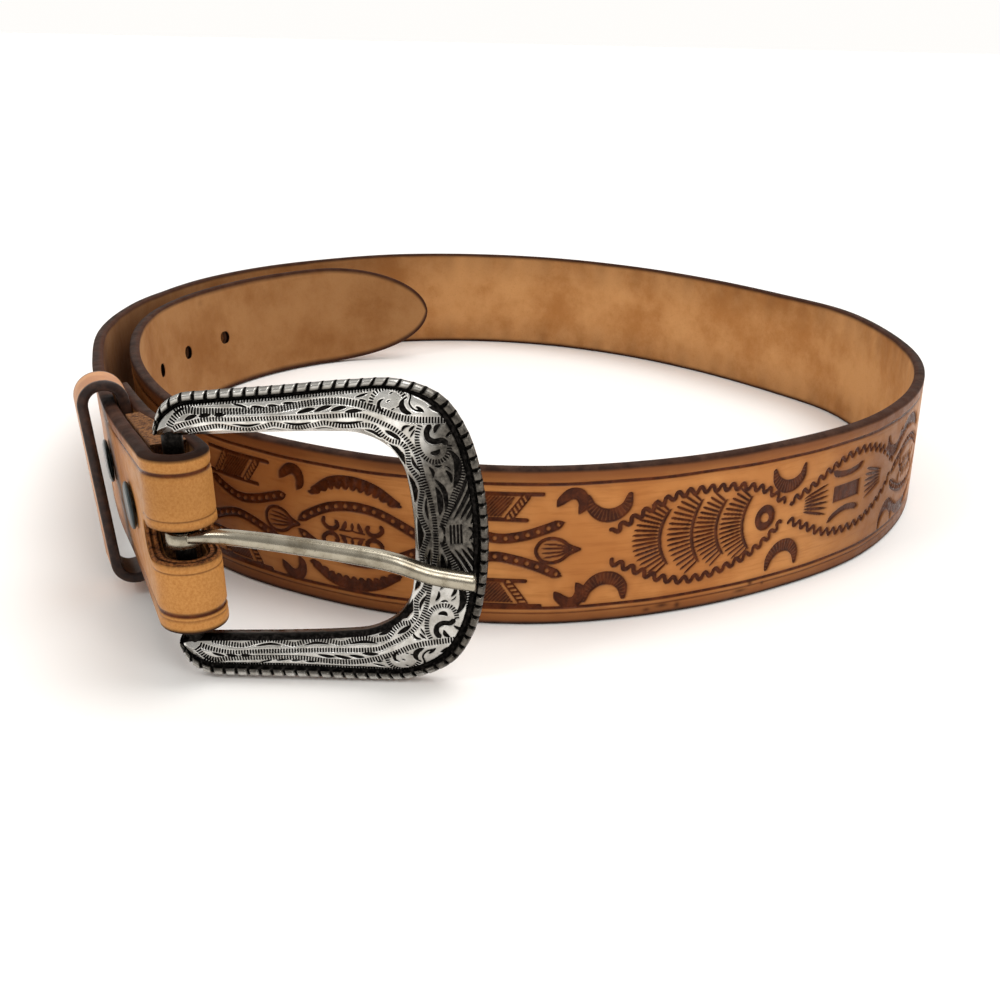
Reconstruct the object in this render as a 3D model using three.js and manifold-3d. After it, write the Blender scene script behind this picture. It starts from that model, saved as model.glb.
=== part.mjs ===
// A western belt of tooled leather, unfastened and standing on its edge in a loop.
//
// Frame: +Z up, +X to the right and +Y to the back as seen from the front, millimetres.
// The origin is the middle of the bounding box, on the surface that the belt stands on.

import * as THREE from 'three';
import { mergeVertices } from 'three/addons/utils/BufferGeometryUtils.js';
import Module from 'manifold-3d';

const wasm = await Module();
wasm.setup();

// Strap
const strapWidth = 38;
const strapThickness = 3;
const edgeRounding = 0.9;
const loopWidth = 257;
const loopDepth = 289;
const stationSpacing = 9;

// The strap is lifted where it folds round the bar, and comes down to the surface over this run.
const settleRun = 230;
const settlePower = 1.25;

// Billet
const tipLength = 45;
const tipSteps = 9;
const tipFirstAngle = 8;
const holeCount = 5;
const holeSpacing = 26;
const holeLength = 5.4;
const holeWidth = 4.4;
const holeToTip = 98;

// Fold round the bar, and the flap that it ends in
const barPlace = { across: -0.247, along: -0.09 };
const barRadius = 2.1;
const foldClearance = 1.9;
const foldLean = 3;
const foldSteps = 18;
const flapLength = 69;
const flapCloses = 44;
const flapEndThickness = 1.4;
const skiveLength = 26;
const slotLength = 26;
const slotWidth = 6.8;

// Filler between the layers
const fillerLoopGap = 0.5;
const fillerLength = 34;

// Keeper
const keeperWidth = 12.7;
const keeperThickness = 2.4;
const keeperRun = 43.4;
const keeperStandOff = 3.4;
const keeperPlay = 3.6;
const keeperCornerRadius = 3.2;

// Snaps: run is the distance behind the fold, up the height over the middle of the strap's width.
const snapPlaces = {
  snap_front: { run: 19, up: 2.4 },
  snap_rear: { run: 58, up: 2.4 },
};
const snapDiameter = 10.4;
const snapCapHeight = 1.3;
const snapDome = 0.5;
const domeShoulder = 0.7;
const postRadius = 1.6;
const postClearance = 0.3;

// Buckle
const buckleLength = 64.6;
const buckleHeight = 64.4;
const buckleCrown = 2.6;
const buckleBack = 1.4;
const rimWidth = 2.3;
const buckleLean = 2.7;
const buckleFootGap = 0.5;

// Tongue
const tongueDiameter = 4;
const tongueLength = 58.6;
const tongueDrop = 9.9;
const tongueLoopWall = 1.3;
const tongueLoopWidth = 3.4;
const runningGap = 0.3;

// Pieces that lie against each other keep this gap.
const seatGap = 0.3;

// Facets: sides of a round piece, and sections along a swept one
const roundSides = 20;
const capSides = 28;
const cornerSegments = 6;
const fillerSteps = 6;
const slotSteps = 28;
const holeSteps = 10;
const bandSteps = 80;
const tongueSteps = 28;

// The middle of the strap's outer face, from the layer behind the fold, round the back and the front, and in
// along the billet. across is a share of loopWidth from the middle, along a share of loopDepth from the
// front, and lean the degrees by which the top edge stands further out than the bottom edge.
const routeRows = [
  { across: -0.338, along: 0.034, lean: 6 },
  { across: -0.385, along: 0.135, lean: 4.5 },
  { across: -0.427, along: 0.238, lean: 3.5 },
  { across: -0.475, along: 0.384, lean: 2 },
  { across: -0.494, along: 0.51, lean: 1 },
  { across: -0.49, along: 0.622, lean: 1 },
  { across: -0.453, along: 0.744, lean: 1 },
  { across: -0.385, along: 0.844, lean: 2 },
  { across: -0.302, along: 0.916, lean: 2 },
  { across: -0.191, along: 0.976, lean: 3 },
  { across: -0.058, along: 0.996, lean: 3 },
  { across: 0.078, along: 0.977, lean: 3 },
  { across: 0.21, along: 0.917, lean: 2 },
  { across: 0.319, along: 0.832, lean: 1 },
  { across: 0.412, along: 0.728, lean: 0 },
  { across: 0.475, along: 0.636, lean: 0 },
  { across: 0.5, along: 0.515, lean: 0 },
  { across: 0.494, along: 0.384, lean: 0 },
  { across: 0.45, along: 0.265, lean: 0 },
  { across: 0.377, along: 0.164, lean: 0 },
  { across: 0.293, along: 0.097, lean: 0 },
  { across: 0.166, along: 0.032, lean: 0 },
  { across: 0.036, along: 0.001, lean: 0 },
  { across: -0.078, along: 0.01, lean: 0 },
  { across: -0.187, along: 0.049, lean: 0 },
  { across: -0.267, along: 0.098, lean: 0 },
  { across: -0.337, along: 0.173, lean: 1 },
  { across: -0.41, along: 0.307, lean: 3 },
  { across: -0.451, along: 0.453, lean: 5 },
  { across: -0.455, along: 0.557, lean: 6 },
  { across: -0.429, along: 0.664, lean: 7 },
  { across: -0.363, along: 0.777, lean: 8.5 },
  { across: -0.272, along: 0.852, lean: 10 },
  { across: -0.128, along: 0.894, lean: 10 },
];

// One half of the buckle's band, from the end of an arm beside the bar to the middle of the front.
// Each place is a share of buckleLength from the bar, and of half of buckleHeight.
const bandRows = [
  { outerAlong: -0.048, outerUp: 0.72, innerAlong: -0.045, innerUp: 0.68 },
  { outerAlong: -0.02, outerUp: 0.854, innerAlong: -0.015, innerUp: 0.672 },
  { outerAlong: 0.04, outerUp: 0.935, innerAlong: 0.031, innerUp: 0.672 },
  { outerAlong: 0.124, outerUp: 0.952, innerAlong: 0.108, innerUp: 0.674 },
  { outerAlong: 0.341, outerUp: 0.974, innerAlong: 0.302, innerUp: 0.68 },
  { outerAlong: 0.557, outerUp: 1, innerAlong: 0.48, innerUp: 0.676 },
  { outerAlong: 0.7, outerUp: 0.995, innerAlong: 0.57, innerUp: 0.66 },
  { outerAlong: 0.824, outerUp: 0.89, innerAlong: 0.65, innerUp: 0.58 },
  { outerAlong: 0.893, outerUp: 0.69, innerAlong: 0.694, innerUp: 0.46 },
  { outerAlong: 0.935, outerUp: 0.391, innerAlong: 0.713, innerUp: 0.29 },
];
const bandMiddle = { outerAlong: 0.951, innerAlong: 0.722 };

// The band's section: place 0 to 1 crosses the rim, 1 to 2 the field inside it. height is a share of the
// crown.
const bandSection = [
  { place: 0, height: 0.55 },
  { place: 0.2, height: 0.85 },
  { place: 0.65, height: 0.85 },
  { place: 1, height: 0.6 },
  { place: 1.12, height: 0.72 },
  { place: 1.5, height: 1 },
  { place: 1.88, height: 0.72 },
  { place: 2, height: 0.35 },
];

// The tongue's centre line: along and drop are shares of tongueLength and tongueDrop, out is the distance in
// front of the bar as a share of its distance over the frame, and girth a share of tongueDiameter.
const tongueRows = [
  { along: 0.03, out: 0.68, drop: -0.1, girth: 0.6 },
  { along: 0.12, out: 0.76, drop: -0.13, girth: 0.76 },
  { along: 0.19, out: 0.84, drop: -0.11, girth: 0.84 },
  { along: 0.41, out: 0.95, drop: 0.08, girth: 0.92 },
  { along: 0.68, out: 1, drop: 0.39, girth: 1.04 },
  { along: 0.75, out: 1.03, drop: 0.51, girth: 1.06 },
  { along: 0.85, out: 1.03, drop: 0.75, girth: 1.02 },
  { along: 1, out: 1, drop: 0.95, girth: 0.94 },
];

const degrees = THREE.MathUtils.degToRad;

// Meshes and cuts

function weld(geometry) {
  geometry.deleteAttribute('normal');
  geometry.deleteAttribute('uv');
  return mergeVertices(geometry, 1e-4);
}

// Sweeps a section through stations: place(x, y, station) says where a point of the section lies.
function sweep(section, stations, place) {
  const steps = stations.length - 1;
  const geometry = weld(new THREE.ExtrudeGeometry(section, {
    steps,
    depth: steps,
    bevelEnabled: false,
    curveSegments: cornerSegments,
  }));
  const position = geometry.getAttribute('position');
  for (let i = 0; i < position.count; i += 1) {
    const station = stations[Math.round(position.getZ(i))];
    const point = place(position.getX(i), position.getY(i), station);
    position.setXYZ(i, point.x, point.y, point.z);
  }
  return geometry;
}

// Turns a piece made round +Y to a direction, and moves its origin to a point.
function setAlong(geometry, direction, point) {
  const turn = new THREE.Quaternion().setFromUnitVectors(new THREE.Vector3(0, 1, 0), direction);
  return geometry.applyQuaternion(turn).translate(point.x, point.y, point.z);
}

function toSolid(geometry) {
  const welded = weld(geometry);
  return new wasm.Manifold(new wasm.Mesh({
    numProp: 3,
    vertProperties: new Float32Array(welded.getAttribute('position').array),
    triVerts: new Uint32Array(welded.index.array),
  }));
}

function toGeometry(solid) {
  const mesh = solid.getMesh();
  const geometry = new THREE.BufferGeometry();
  geometry.setAttribute('position', new THREE.BufferAttribute(new Float32Array(mesh.vertProperties), 3));
  geometry.setIndex(new THREE.BufferAttribute(new Uint32Array(mesh.triVerts), 1));
  return geometry;
}

function cut(geometry, cutters) {
  return toGeometry(cutters.reduce((rest, cutter) => rest.subtract(toSolid(cutter)), toSolid(geometry)));
}

function join(geometries) {
  return toGeometry(geometries.map(toSolid).reduce((whole, part) => whole.add(part)));
}

// The strap's route in plan

const foldRadius = barRadius + foldClearance + strapThickness / 2;
const foldRun = Math.PI * foldRadius;
const bar = new THREE.Vector2(barPlace.across * loopWidth, barPlace.along * loopDepth);

// A row's place in plan, with its lean in radians as the third coordinate
function rowPlace(row) {
  return new THREE.Vector3(row.across * loopWidth, row.along * loopDepth, degrees(row.lean));
}

function leftOf(heading) {
  return new THREE.Vector2(-heading.y, heading.x);
}

// The outer face moved in by half the leather's thickness
function centreRows() {
  const face = new THREE.CatmullRomCurve3(routeRows.map(rowPlace), false, 'centripetal');
  return routeRows.map((row, i) => {
    const heading = face.getTangent(i / (routeRows.length - 1));
    const outward = leftOf(heading);
    const point = rowPlace(row);
    return new THREE.Vector3(
      point.x - outward.x * strapThickness / 2,
      point.y - outward.y * strapThickness / 2,
      point.z,
    );
  });
}

const layerRows = centreRows();
const toFirstRow = new THREE.Vector2(layerRows[0].x, layerRows[0].y).sub(bar);
const foldHeading = toFirstRow.angle() - Math.asin(foldRadius / toFirstRow.length());
const foldForward = new THREE.Vector2(Math.cos(foldHeading), Math.sin(foldHeading));
const foldEnd = bar.clone().addScaledVector(leftOf(foldForward), foldRadius);
const layerLine = new THREE.CatmullRomCurve3(
  [new THREE.Vector3(foldEnd.x, foldEnd.y, degrees(foldLean)), ...layerRows],
  false,
  'centripetal',
);
layerLine.arcLengthDivisions = 3000;

// Run from the fold to the billet's tip
const layerLength = layerLine.getLength();

// Centre and outward direction of the outer layer at a run from the fold
function layerAt(run) {
  const share = THREE.MathUtils.clamp(run / layerLength, 0, 1);
  const point = layerLine.getPointAt(share);
  const tangent = layerLine.getTangentAt(share);
  return {
    centre: new THREE.Vector2(point.x, point.y),
    outward: leftOf(tangent).normalize(),
    lean: point.z,
    run,
  };
}

// Round the bar: turn 0 is the flap's side, turn 1 the outer layer's.
function foldAt(turn) {
  const angle = foldHeading - Math.PI / 2 - turn * Math.PI;
  const outward = new THREE.Vector2(Math.cos(angle), Math.sin(angle));
  const lean = -degrees(foldLean) * Math.cos(Math.PI * turn);
  return { centre: bar.clone().addScaledVector(outward, foldRadius), outward, lean, run: 0 };
}

// Distance between the centres of the outer layer and the flap
const flapRests = strapThickness + keeperThickness + 2 * seatGap;
function flapGap(run) {
  const open = (1 + Math.cos(Math.PI * Math.min(run / flapCloses, 1))) / 2;
  return flapRests + (2 * foldRadius - flapRests) * open;
}

function flapThickness(run) {
  const skived = THREE.MathUtils.clamp((run - flapLength + skiveLength) / skiveLength, 0, 1);
  return THREE.MathUtils.lerp(strapThickness, flapEndThickness, skived);
}

// The flap's grain side faces away from the outer layer, and its flesh side keeps to flapGap.
function flapAt(run) {
  const layer = layerAt(run);
  const skived = (strapThickness - flapThickness(run)) / 2;
  return {
    centre: layer.centre.clone().addScaledVector(layer.outward, skived - flapGap(run)),
    outward: layer.outward.clone().negate(),
    lean: -layer.lean,
    run,
  };
}

// The leaning buckle hangs from the fold with its lowest point just over the surface.
const bandTilt = degrees(buckleLean);
const bandDepths = bandRows.map((row) => (
  row.outerUp * buckleHeight / 2 * Math.cos(bandTilt) - row.outerAlong * buckleLength * Math.sin(bandTilt)
));
const barHeight = Math.max(...bandDepths) + buckleFootGap;
const foldLift = barHeight - strapWidth / 2;

// Height of the strap's bottom edge over the surface
function liftAt(run) {
  return foldLift * (1 - Math.min(Math.max(run, 0) / settleRun, 1)) ** settlePower;
}

// A run on the strap seen as one length: below -foldRun it is the flap, then the fold, then the outer layer.
function strapAt(run) {
  if (run >= 0) {
    return layerAt(run);
  }
  if (run >= -foldRun) {
    return foldAt(1 + run / foldRun);
  }
  return flapAt(-foldRun - run);
}

// The direction that the leather's outer face looks in
function facingOf(place) {
  const level = Math.cos(place.lean);
  return new THREE.Vector3(place.outward.x * level, place.outward.y * level, -Math.sin(place.lean));
}

// Stands a point off a place on the strap: out from the leather's centre, up from the middle of its width.
function standOff(place, out, up) {
  const facing = facingOf(place);
  const over = Math.sin(place.lean) * up;
  const middle = Math.cos(place.lean) * strapWidth / 2 + Math.abs(facing.z) * strapThickness / 2;
  return new THREE.Vector3(
    place.centre.x + facing.x * out + place.outward.x * over,
    place.centre.y + facing.y * out + place.outward.y * over,
    liftAt(place.run) + middle + facing.z * out + Math.cos(place.lean) * up,
  );
}

// Strap

function strapStations() {
  const stations = [];
  const flapSteps = Math.round(flapLength / stationSpacing);
  for (let i = 0; i < flapSteps; i += 1) {
    const run = flapLength * (1 - i / flapSteps);
    stations.push({ ...flapAt(run), half: strapWidth / 2, thickness: flapThickness(run) });
  }
  for (let i = 0; i < foldSteps; i += 1) {
    stations.push({ ...foldAt(i / foldSteps), half: strapWidth / 2, thickness: strapThickness });
  }
  const evenRun = layerLength - tipLength;
  const layerSteps = Math.round(evenRun / stationSpacing);
  for (let i = 0; i < layerSteps; i += 1) {
    stations.push({ ...layerAt(evenRun * i / layerSteps), half: strapWidth / 2, thickness: strapThickness });
  }
  for (let i = tipSteps; i >= 0; i -= 1) {
    const angle = degrees(THREE.MathUtils.lerp(tipFirstAngle, 90, i / tipSteps));
    stations.push({
      ...layerAt(layerLength - tipLength * (1 - Math.cos(angle))),
      half: strapWidth / 2 * Math.sin(angle),
      thickness: strapThickness,
    });
  }
  return stations;
}

// Section of the leather, as shares of its thickness and half of its width, with rounded edges
function leatherSection() {
  const acrossCorner = 0.5 - edgeRounding / strapThickness;
  const upCorner = 1 - edgeRounding / (strapWidth / 2);
  const section = new THREE.Shape();
  section.moveTo(-0.5, -upCorner);
  section.lineTo(-acrossCorner, -1);
  section.lineTo(acrossCorner, -1);
  section.lineTo(0.5, -upCorner);
  section.lineTo(0.5, upCorner);
  section.lineTo(acrossCorner, 1);
  section.lineTo(-acrossCorner, 1);
  section.lineTo(-0.5, upCorner);
  return section;
}

// A slot through the leather with round ends, round a run. Its first and last sections stand in from its ends
// by a small part of a half turn, so that none has no width.
function slotCutter(middle, length, width, steps) {
  const firstTurn = 0.06;
  const halfLength = length / 2;
  const endRadius = Math.min(width / 2, halfLength);
  const section = new THREE.Shape();
  const reach = strapThickness / 2 + seatGap;
  section.moveTo(-reach, -1);
  section.lineTo(reach, -1);
  section.lineTo(reach, 1);
  section.lineTo(-reach, 1);
  const stations = [];
  for (let i = 0; i <= steps; i += 1) {
    const turn = THREE.MathUtils.lerp(firstTurn, 1 - firstTurn, i / steps);
    const offset = -Math.cos(Math.PI * turn) * halfLength;
    const intoEnd = Math.max(Math.abs(offset) - halfLength + endRadius, 0) / endRadius;
    stations.push({ ...strapAt(middle + offset), half: width / 2 * Math.sqrt(1 - intoEnd ** 2) });
  }
  return sweep(section, stations, (x, y, station) => standOff(station, x, y * station.half));
}

// A snap's post, or the hole for it, along the direction that the outer layer faces
function postRod(snap, radius, length) {
  const layer = layerAt(snap.run);
  const rod = new THREE.CylinderGeometry(radius, radius, length, roundSides);
  return setAlong(rod, facingOf(layer), standOff(layer, 0, snap.up));
}

function postHole(snap) {
  return postRod(snap, postRadius + postClearance, 4 * foldRadius);
}

function strapGeometry() {
  const body = sweep(leatherSection(), strapStations(), (x, y, station) => (
    standOff(station, x * station.thickness, y * station.half)
  ));
  const cutters = [slotCutter(-foldRun / 2, slotLength, slotWidth, slotSteps)];
  for (let i = 0; i < holeCount; i += 1) {
    const run = layerLength - holeToTip - i * holeSpacing;
    cutters.push(slotCutter(run, holeLength, holeWidth, holeSteps));
  }
  for (const snap of Object.values(snapPlaces)) {
    cutters.push(postHole(snap));
  }
  return cut(body, cutters);
}

// Filler: fills the space between the outer layer and the flap behind the bar

function fillerGeometry() {
  const section = new THREE.Shape();
  section.moveTo(0, -1);
  section.lineTo(1, -1);
  section.lineTo(1, 1);
  section.lineTo(0, 1);
  const first = barRadius + runningGap + tongueLoopWall + fillerLoopGap;
  const stations = [];
  for (let i = 0; i <= fillerSteps; i += 1) {
    stations.push(layerAt(THREE.MathUtils.lerp(first, fillerLength, i / fillerSteps)));
  }
  const outerFace = -strapThickness / 2 - seatGap;
  const wedge = sweep(section, stations, (x, y, station) => {
    const innerFace = -flapGap(station.run) + strapThickness / 2 + seatGap;
    return standOff(station, THREE.MathUtils.lerp(innerFace, outerFace, x), y * strapWidth / 2);
  });
  return cut(wedge, [postHole(snapPlaces.snap_front)]);
}

// Keeper: a loop of leather that the outer layer passes through

function keeperGeometry() {
  const innerX = -strapThickness / 2 - seatGap;
  const outerX = strapThickness / 2 + keeperStandOff;
  const innerY = strapWidth / 2 + keeperPlay;
  const ring = roundedBox(
    innerX - keeperThickness,
    outerX + keeperThickness,
    innerY + keeperThickness,
    keeperCornerRadius + keeperThickness,
  );
  ring.holes.push(roundedBox(innerX, outerX, innerY, keeperCornerRadius));
  const stations = [0, 0.5, 1].map((share) => layerAt(keeperRun + share * keeperWidth));
  return sweep(ring, stations, (x, y, station) => standOff(station, x, y));
}

function roundedBox(left, right, up, radius) {
  const shape = new THREE.Shape();
  shape.moveTo(right, -up + radius);
  shape.lineTo(right, up - radius);
  shape.absarc(right - radius, up - radius, radius, 0, Math.PI / 2, false);
  shape.lineTo(left + radius, up);
  shape.absarc(left + radius, up - radius, radius, Math.PI / 2, Math.PI, false);
  shape.lineTo(left, -up + radius);
  shape.absarc(left + radius, -up + radius, radius, Math.PI, Math.PI * 1.5, false);
  shape.lineTo(right - radius, -up);
  shape.absarc(right - radius, -up + radius, radius, Math.PI * 1.5, Math.PI * 2, false);
  return shape;
}

// Snaps: a domed cap on the outer layer, a post, and a cap on the flap

function capGeometry(direction, base) {
  const radius = snapDiameter / 2;
  const flank = snapCapHeight - snapDome;
  const profile = [
    new THREE.Vector2(0, 0),
    new THREE.Vector2(radius, 0),
    new THREE.Vector2(radius, flank),
    new THREE.Vector2(radius * domeShoulder, flank + snapDome * domeShoulder),
    new THREE.Vector2(0, snapCapHeight),
  ];
  return setAlong(new THREE.LatheGeometry(profile, capSides), direction, base);
}

// The flap with its own outward direction, which turns where the flap closes on the outer layer
function flapFace(run) {
  const step = 0.5;
  const along = flapAt(run - step).centre.sub(flapAt(run + step).centre).normalize();
  return { ...flapAt(run), outward: leftOf(along) };
}

function snapGeometry(snap) {
  const { run, up } = snap;
  const layer = layerAt(run);
  const outward = facingOf(layer);
  const flapFacing = facingOf(flapFace(run));
  const flapSeat = (flapThickness(run) / 2 + seatGap) / -flapFacing.dot(outward);
  const outerOut = strapThickness / 2 + seatGap;
  const innerOut = -flapGap(run) - (flapThickness(run) - strapThickness) / 2 - flapSeat;
  const post = postRod(snap, postRadius, outerOut - innerOut + snapCapHeight);
  const toPostMiddle = outward.clone().multiplyScalar((outerOut + innerOut) / 2);
  return join([
    capGeometry(outward, standOff(layer, outerOut, up)),
    post.translate(toPostMiddle.x, toPostMiddle.y, toPostMiddle.z),
    capGeometry(flapFacing, standOff(layer, innerOut, up)),
  ]);
}

// Buckle frame, in its own axes: x from the bar to the front, y to the back, z up the bar

function bandCurves() {
  const halfHeight = buckleHeight / 2;
  const upper = bandRows.map((row) => ({
    outer: new THREE.Vector3(row.outerAlong * buckleLength, 0, row.outerUp * halfHeight),
    inner: new THREE.Vector3(row.innerAlong * buckleLength, 0, row.innerUp * halfHeight),
  }));
  const middle = {
    outer: new THREE.Vector3(bandMiddle.outerAlong * buckleLength, 0, 0),
    inner: new THREE.Vector3(bandMiddle.innerAlong * buckleLength, 0, 0),
  };
  const flip = (point) => new THREE.Vector3(point.x, point.y, -point.z);
  const lower = [...upper].reverse().map((row) => ({ outer: flip(row.outer), inner: flip(row.inner) }));
  const rows = [...upper, middle, ...lower];
  return {
    outer: new THREE.CatmullRomCurve3(rows.map((row) => row.outer), false, 'centripetal'),
    inner: new THREE.CatmullRomCurve3(rows.map((row) => row.inner), false, 'centripetal'),
  };
}

function bandGeometry() {
  const curves = bandCurves();
  const section = new THREE.Shape();
  section.moveTo(2, buckleBack);
  section.lineTo(0, buckleBack);
  for (const row of bandSection) {
    section.lineTo(row.place, -row.height * buckleCrown);
  }
  const stations = [];
  for (let i = 0; i <= bandSteps; i += 1) {
    const share = i / bandSteps;
    stations.push({ outer: curves.outer.getPoint(share), inner: curves.inner.getPoint(share) });
  }
  return sweep(section, stations, (x, y, station) => {
    const width = station.outer.distanceTo(station.inner);
    const rim = Math.min(rimWidth, width / 3) / width;
    const share = x <= 1 ? x * rim : rim + (x - 1) * (1 - rim);
    return new THREE.Vector3().lerpVectors(station.outer, station.inner, share).setY(y);
  });
}

function buckleGeometry() {
  const armFoot = bandRows[1].innerUp * buckleHeight / 2;
  const barLength = 2 * (armFoot + barRadius);
  const barPiece = new THREE.CylinderGeometry(barRadius, barRadius, barLength, roundSides);
  return join([bandGeometry(), barPiece.rotateX(Math.PI / 2)]);
}

// Tongue, in the buckle's axes: a loop round the bar, and a rod that lies on the frame's front

function tongueGeometry() {
  const loopInner = barRadius + runningGap;
  const loopOuter = loopInner + tongueLoopWall;
  const loop = new THREE.Shape();
  loop.absarc(0, 0, loopOuter, 0, Math.PI * 2, false);
  const eye = new THREE.Path();
  eye.absarc(0, 0, loopInner, 0, Math.PI * 2, true);
  loop.holes.push(eye);
  const loopPiece = new THREE.ExtrudeGeometry(loop, {
    depth: tongueLoopWidth,
    bevelEnabled: false,
    curveSegments: roundSides,
  }).translate(0, 0, -tongueLoopWidth / 2);

  const overFrame = buckleCrown + seatGap + tongueDiameter / 2;
  const line = new THREE.CatmullRomCurve3(tongueRows.map((row) => (
    new THREE.Vector3(row.along * tongueLength, -row.out * overFrame, -row.drop * tongueDrop)
  )), false, 'centripetal');
  const section = new THREE.Shape();
  section.absarc(0, 0, 0.5, 0, Math.PI * 2, false);
  const stations = [];
  for (let i = 0; i <= tongueSteps; i += 1) {
    const reach = i / tongueSteps * (tongueRows.length - 1);
    const row = Math.min(Math.floor(reach), tongueRows.length - 2);
    const girth = THREE.MathUtils.lerp(tongueRows[row].girth, tongueRows[row + 1].girth, reach - row);
    stations.push({ point: line.getPoint(i / tongueSteps), diameter: girth * tongueDiameter });
  }
  const rod = sweep(section, stations, (x, y, station) => (
    new THREE.Vector3(0, x * station.diameter, y * station.diameter).add(station.point)
  ));
  return join([loopPiece, rod]);
}

// Materials

const tooledLeather = new THREE.MeshStandardMaterial({ color: 0xa9673a, roughness: 0.55, metalness: 0 });
const rawLeather = new THREE.MeshStandardMaterial({ color: 0x8a6038, roughness: 0.95, metalness: 0 });
const keeperLeather = new THREE.MeshStandardMaterial({ color: 0xb9793f, roughness: 0.5, metalness: 0 });
const antiqueSilver = new THREE.MeshStandardMaterial({ color: 0x9a9a96, roughness: 0.35, metalness: 0.9 });
const brightNickel = new THREE.MeshStandardMaterial({ color: 0xd2d0ca, roughness: 0.2, metalness: 1 });
const darkEnamel = new THREE.MeshStandardMaterial({ color: 0x1d2a2c, roughness: 0.35, metalness: 0.6 });

function piece(name, geometry, material) {
  const mesh = new THREE.Mesh(geometry, material);
  mesh.name = name;
  return mesh;
}

// Assembly

const buckle = new THREE.Group();
buckle.add(piece('buckle_frame', buckleGeometry(), antiqueSilver));
buckle.add(piece('tongue', tongueGeometry(), brightNickel));
buckle.position.set(bar.x, bar.y, barHeight);
buckle.rotation.y = -bandTilt;

const belt = new THREE.Group();
belt.add(piece('strap', strapGeometry(), tooledLeather));
belt.add(piece('fold_filler', fillerGeometry(), rawLeather));
belt.add(piece('keeper', keeperGeometry(), keeperLeather));
belt.add(buckle);
for (const [name, snap] of Object.entries(snapPlaces)) {
  belt.add(piece(name, snapGeometry(snap), darkEnamel));
}

const box = new THREE.Box3().setFromObject(belt, true);
belt.position.set(-(box.min.x + box.max.x) / 2, -(box.min.y + box.max.y) / 2, -box.min.z);

export default belt;
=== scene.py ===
"""A western belt of tooled leather, unfastened and standing on its edge in a loop.

Lengths are millimetres and become metres where a mesh is made. A place on the strap is a run from the
fold round the buckle's bar, a height up from the middle of the strap's width, and a distance out from
the middle of the leather's thickness.
"""

import math

import bpy
import numpy as np
from mathutils import Matrix, Vector


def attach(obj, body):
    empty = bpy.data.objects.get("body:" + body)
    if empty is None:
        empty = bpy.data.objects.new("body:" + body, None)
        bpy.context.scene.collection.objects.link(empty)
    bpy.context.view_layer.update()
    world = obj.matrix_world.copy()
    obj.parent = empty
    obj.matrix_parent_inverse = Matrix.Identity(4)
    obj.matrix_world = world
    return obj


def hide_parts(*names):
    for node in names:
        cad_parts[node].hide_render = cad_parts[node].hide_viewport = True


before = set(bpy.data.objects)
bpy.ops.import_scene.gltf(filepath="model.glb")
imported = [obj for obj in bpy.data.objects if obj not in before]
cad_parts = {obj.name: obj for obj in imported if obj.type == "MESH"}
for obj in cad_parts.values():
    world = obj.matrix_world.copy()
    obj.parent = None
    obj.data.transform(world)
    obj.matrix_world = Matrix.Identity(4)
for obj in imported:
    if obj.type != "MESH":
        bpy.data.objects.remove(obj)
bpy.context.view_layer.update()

METRES = 0.001

# Strap
STRAP_WIDTH = 38.0
STRAP_THICKNESS = 3.0
EDGE_ROUNDING = 0.9
LOOP_WIDTH = 257.0
LOOP_DEPTH = 289.0
SETTLE_RUN = 230.0
SETTLE_POWER = 1.25
HALF_WIDTH = STRAP_WIDTH / 2
HALF_THICKNESS = STRAP_THICKNESS / 2

# Fold and flap
BAR_ACROSS = -0.247
BAR_ALONG = -0.09
BAR_RADIUS = 2.1
FOLD_CLEARANCE = 1.9
FOLD_LEAN = 3.0
FLAP_LENGTH = 69.0
FLAP_CLOSES = 44.0
FLAP_END_THICKNESS = 1.4
SKIVE_LENGTH = 26.0
SLOT_LENGTH = 26.0
SLOT_WIDTH = 6.8
SEAT_GAP = 0.3

# Billet
TIP_LENGTH = 45.0
TIP_FIRST_ANGLE = 8.0
HOLE_COUNT = 5
HOLE_SPACING = 26.0
HOLE_LENGTH = 5.4
HOLE_WIDTH = 4.4
HOLE_TO_TIP = 98.0

# Keeper
KEEPER_WIDTH = 12.7
KEEPER_THICKNESS = 2.4
KEEPER_RUN = 43.4
KEEPER_STAND_OFF = 3.4
KEEPER_PLAY = 3.6
KEEPER_CORNER = 3.2

# Filler
FILLER_FIRST = BAR_RADIUS + 0.3 + 1.3 + 0.5
FILLER_LENGTH = 34.0

# Snaps
SNAP_PLACES = {
    "snap_front": {"run": 19.0, "up": 2.4},
    "snap_rear": {"run": 58.0, "up": 2.4},
}
SNAP_DIAMETER = 10.4
SNAP_HEIGHT = 1.3

# Buckle
BUCKLE_LENGTH = 64.6
BUCKLE_HEIGHT = 64.4
BUCKLE_CROWN = 2.6
BUCKLE_BACK = 1.4
RIM_WIDTH = 2.3
BUCKLE_LEAN = 2.7
BUCKLE_FOOT_GAP = 0.5

# Tongue
TONGUE_DIAMETER = 4.0
TONGUE_LENGTH = 58.6
TONGUE_DROP = 9.9
TONGUE_LOOP_WALL = 1.3
TONGUE_LOOP_WIDTH = 3.4
RUNNING_GAP = 0.3

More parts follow.
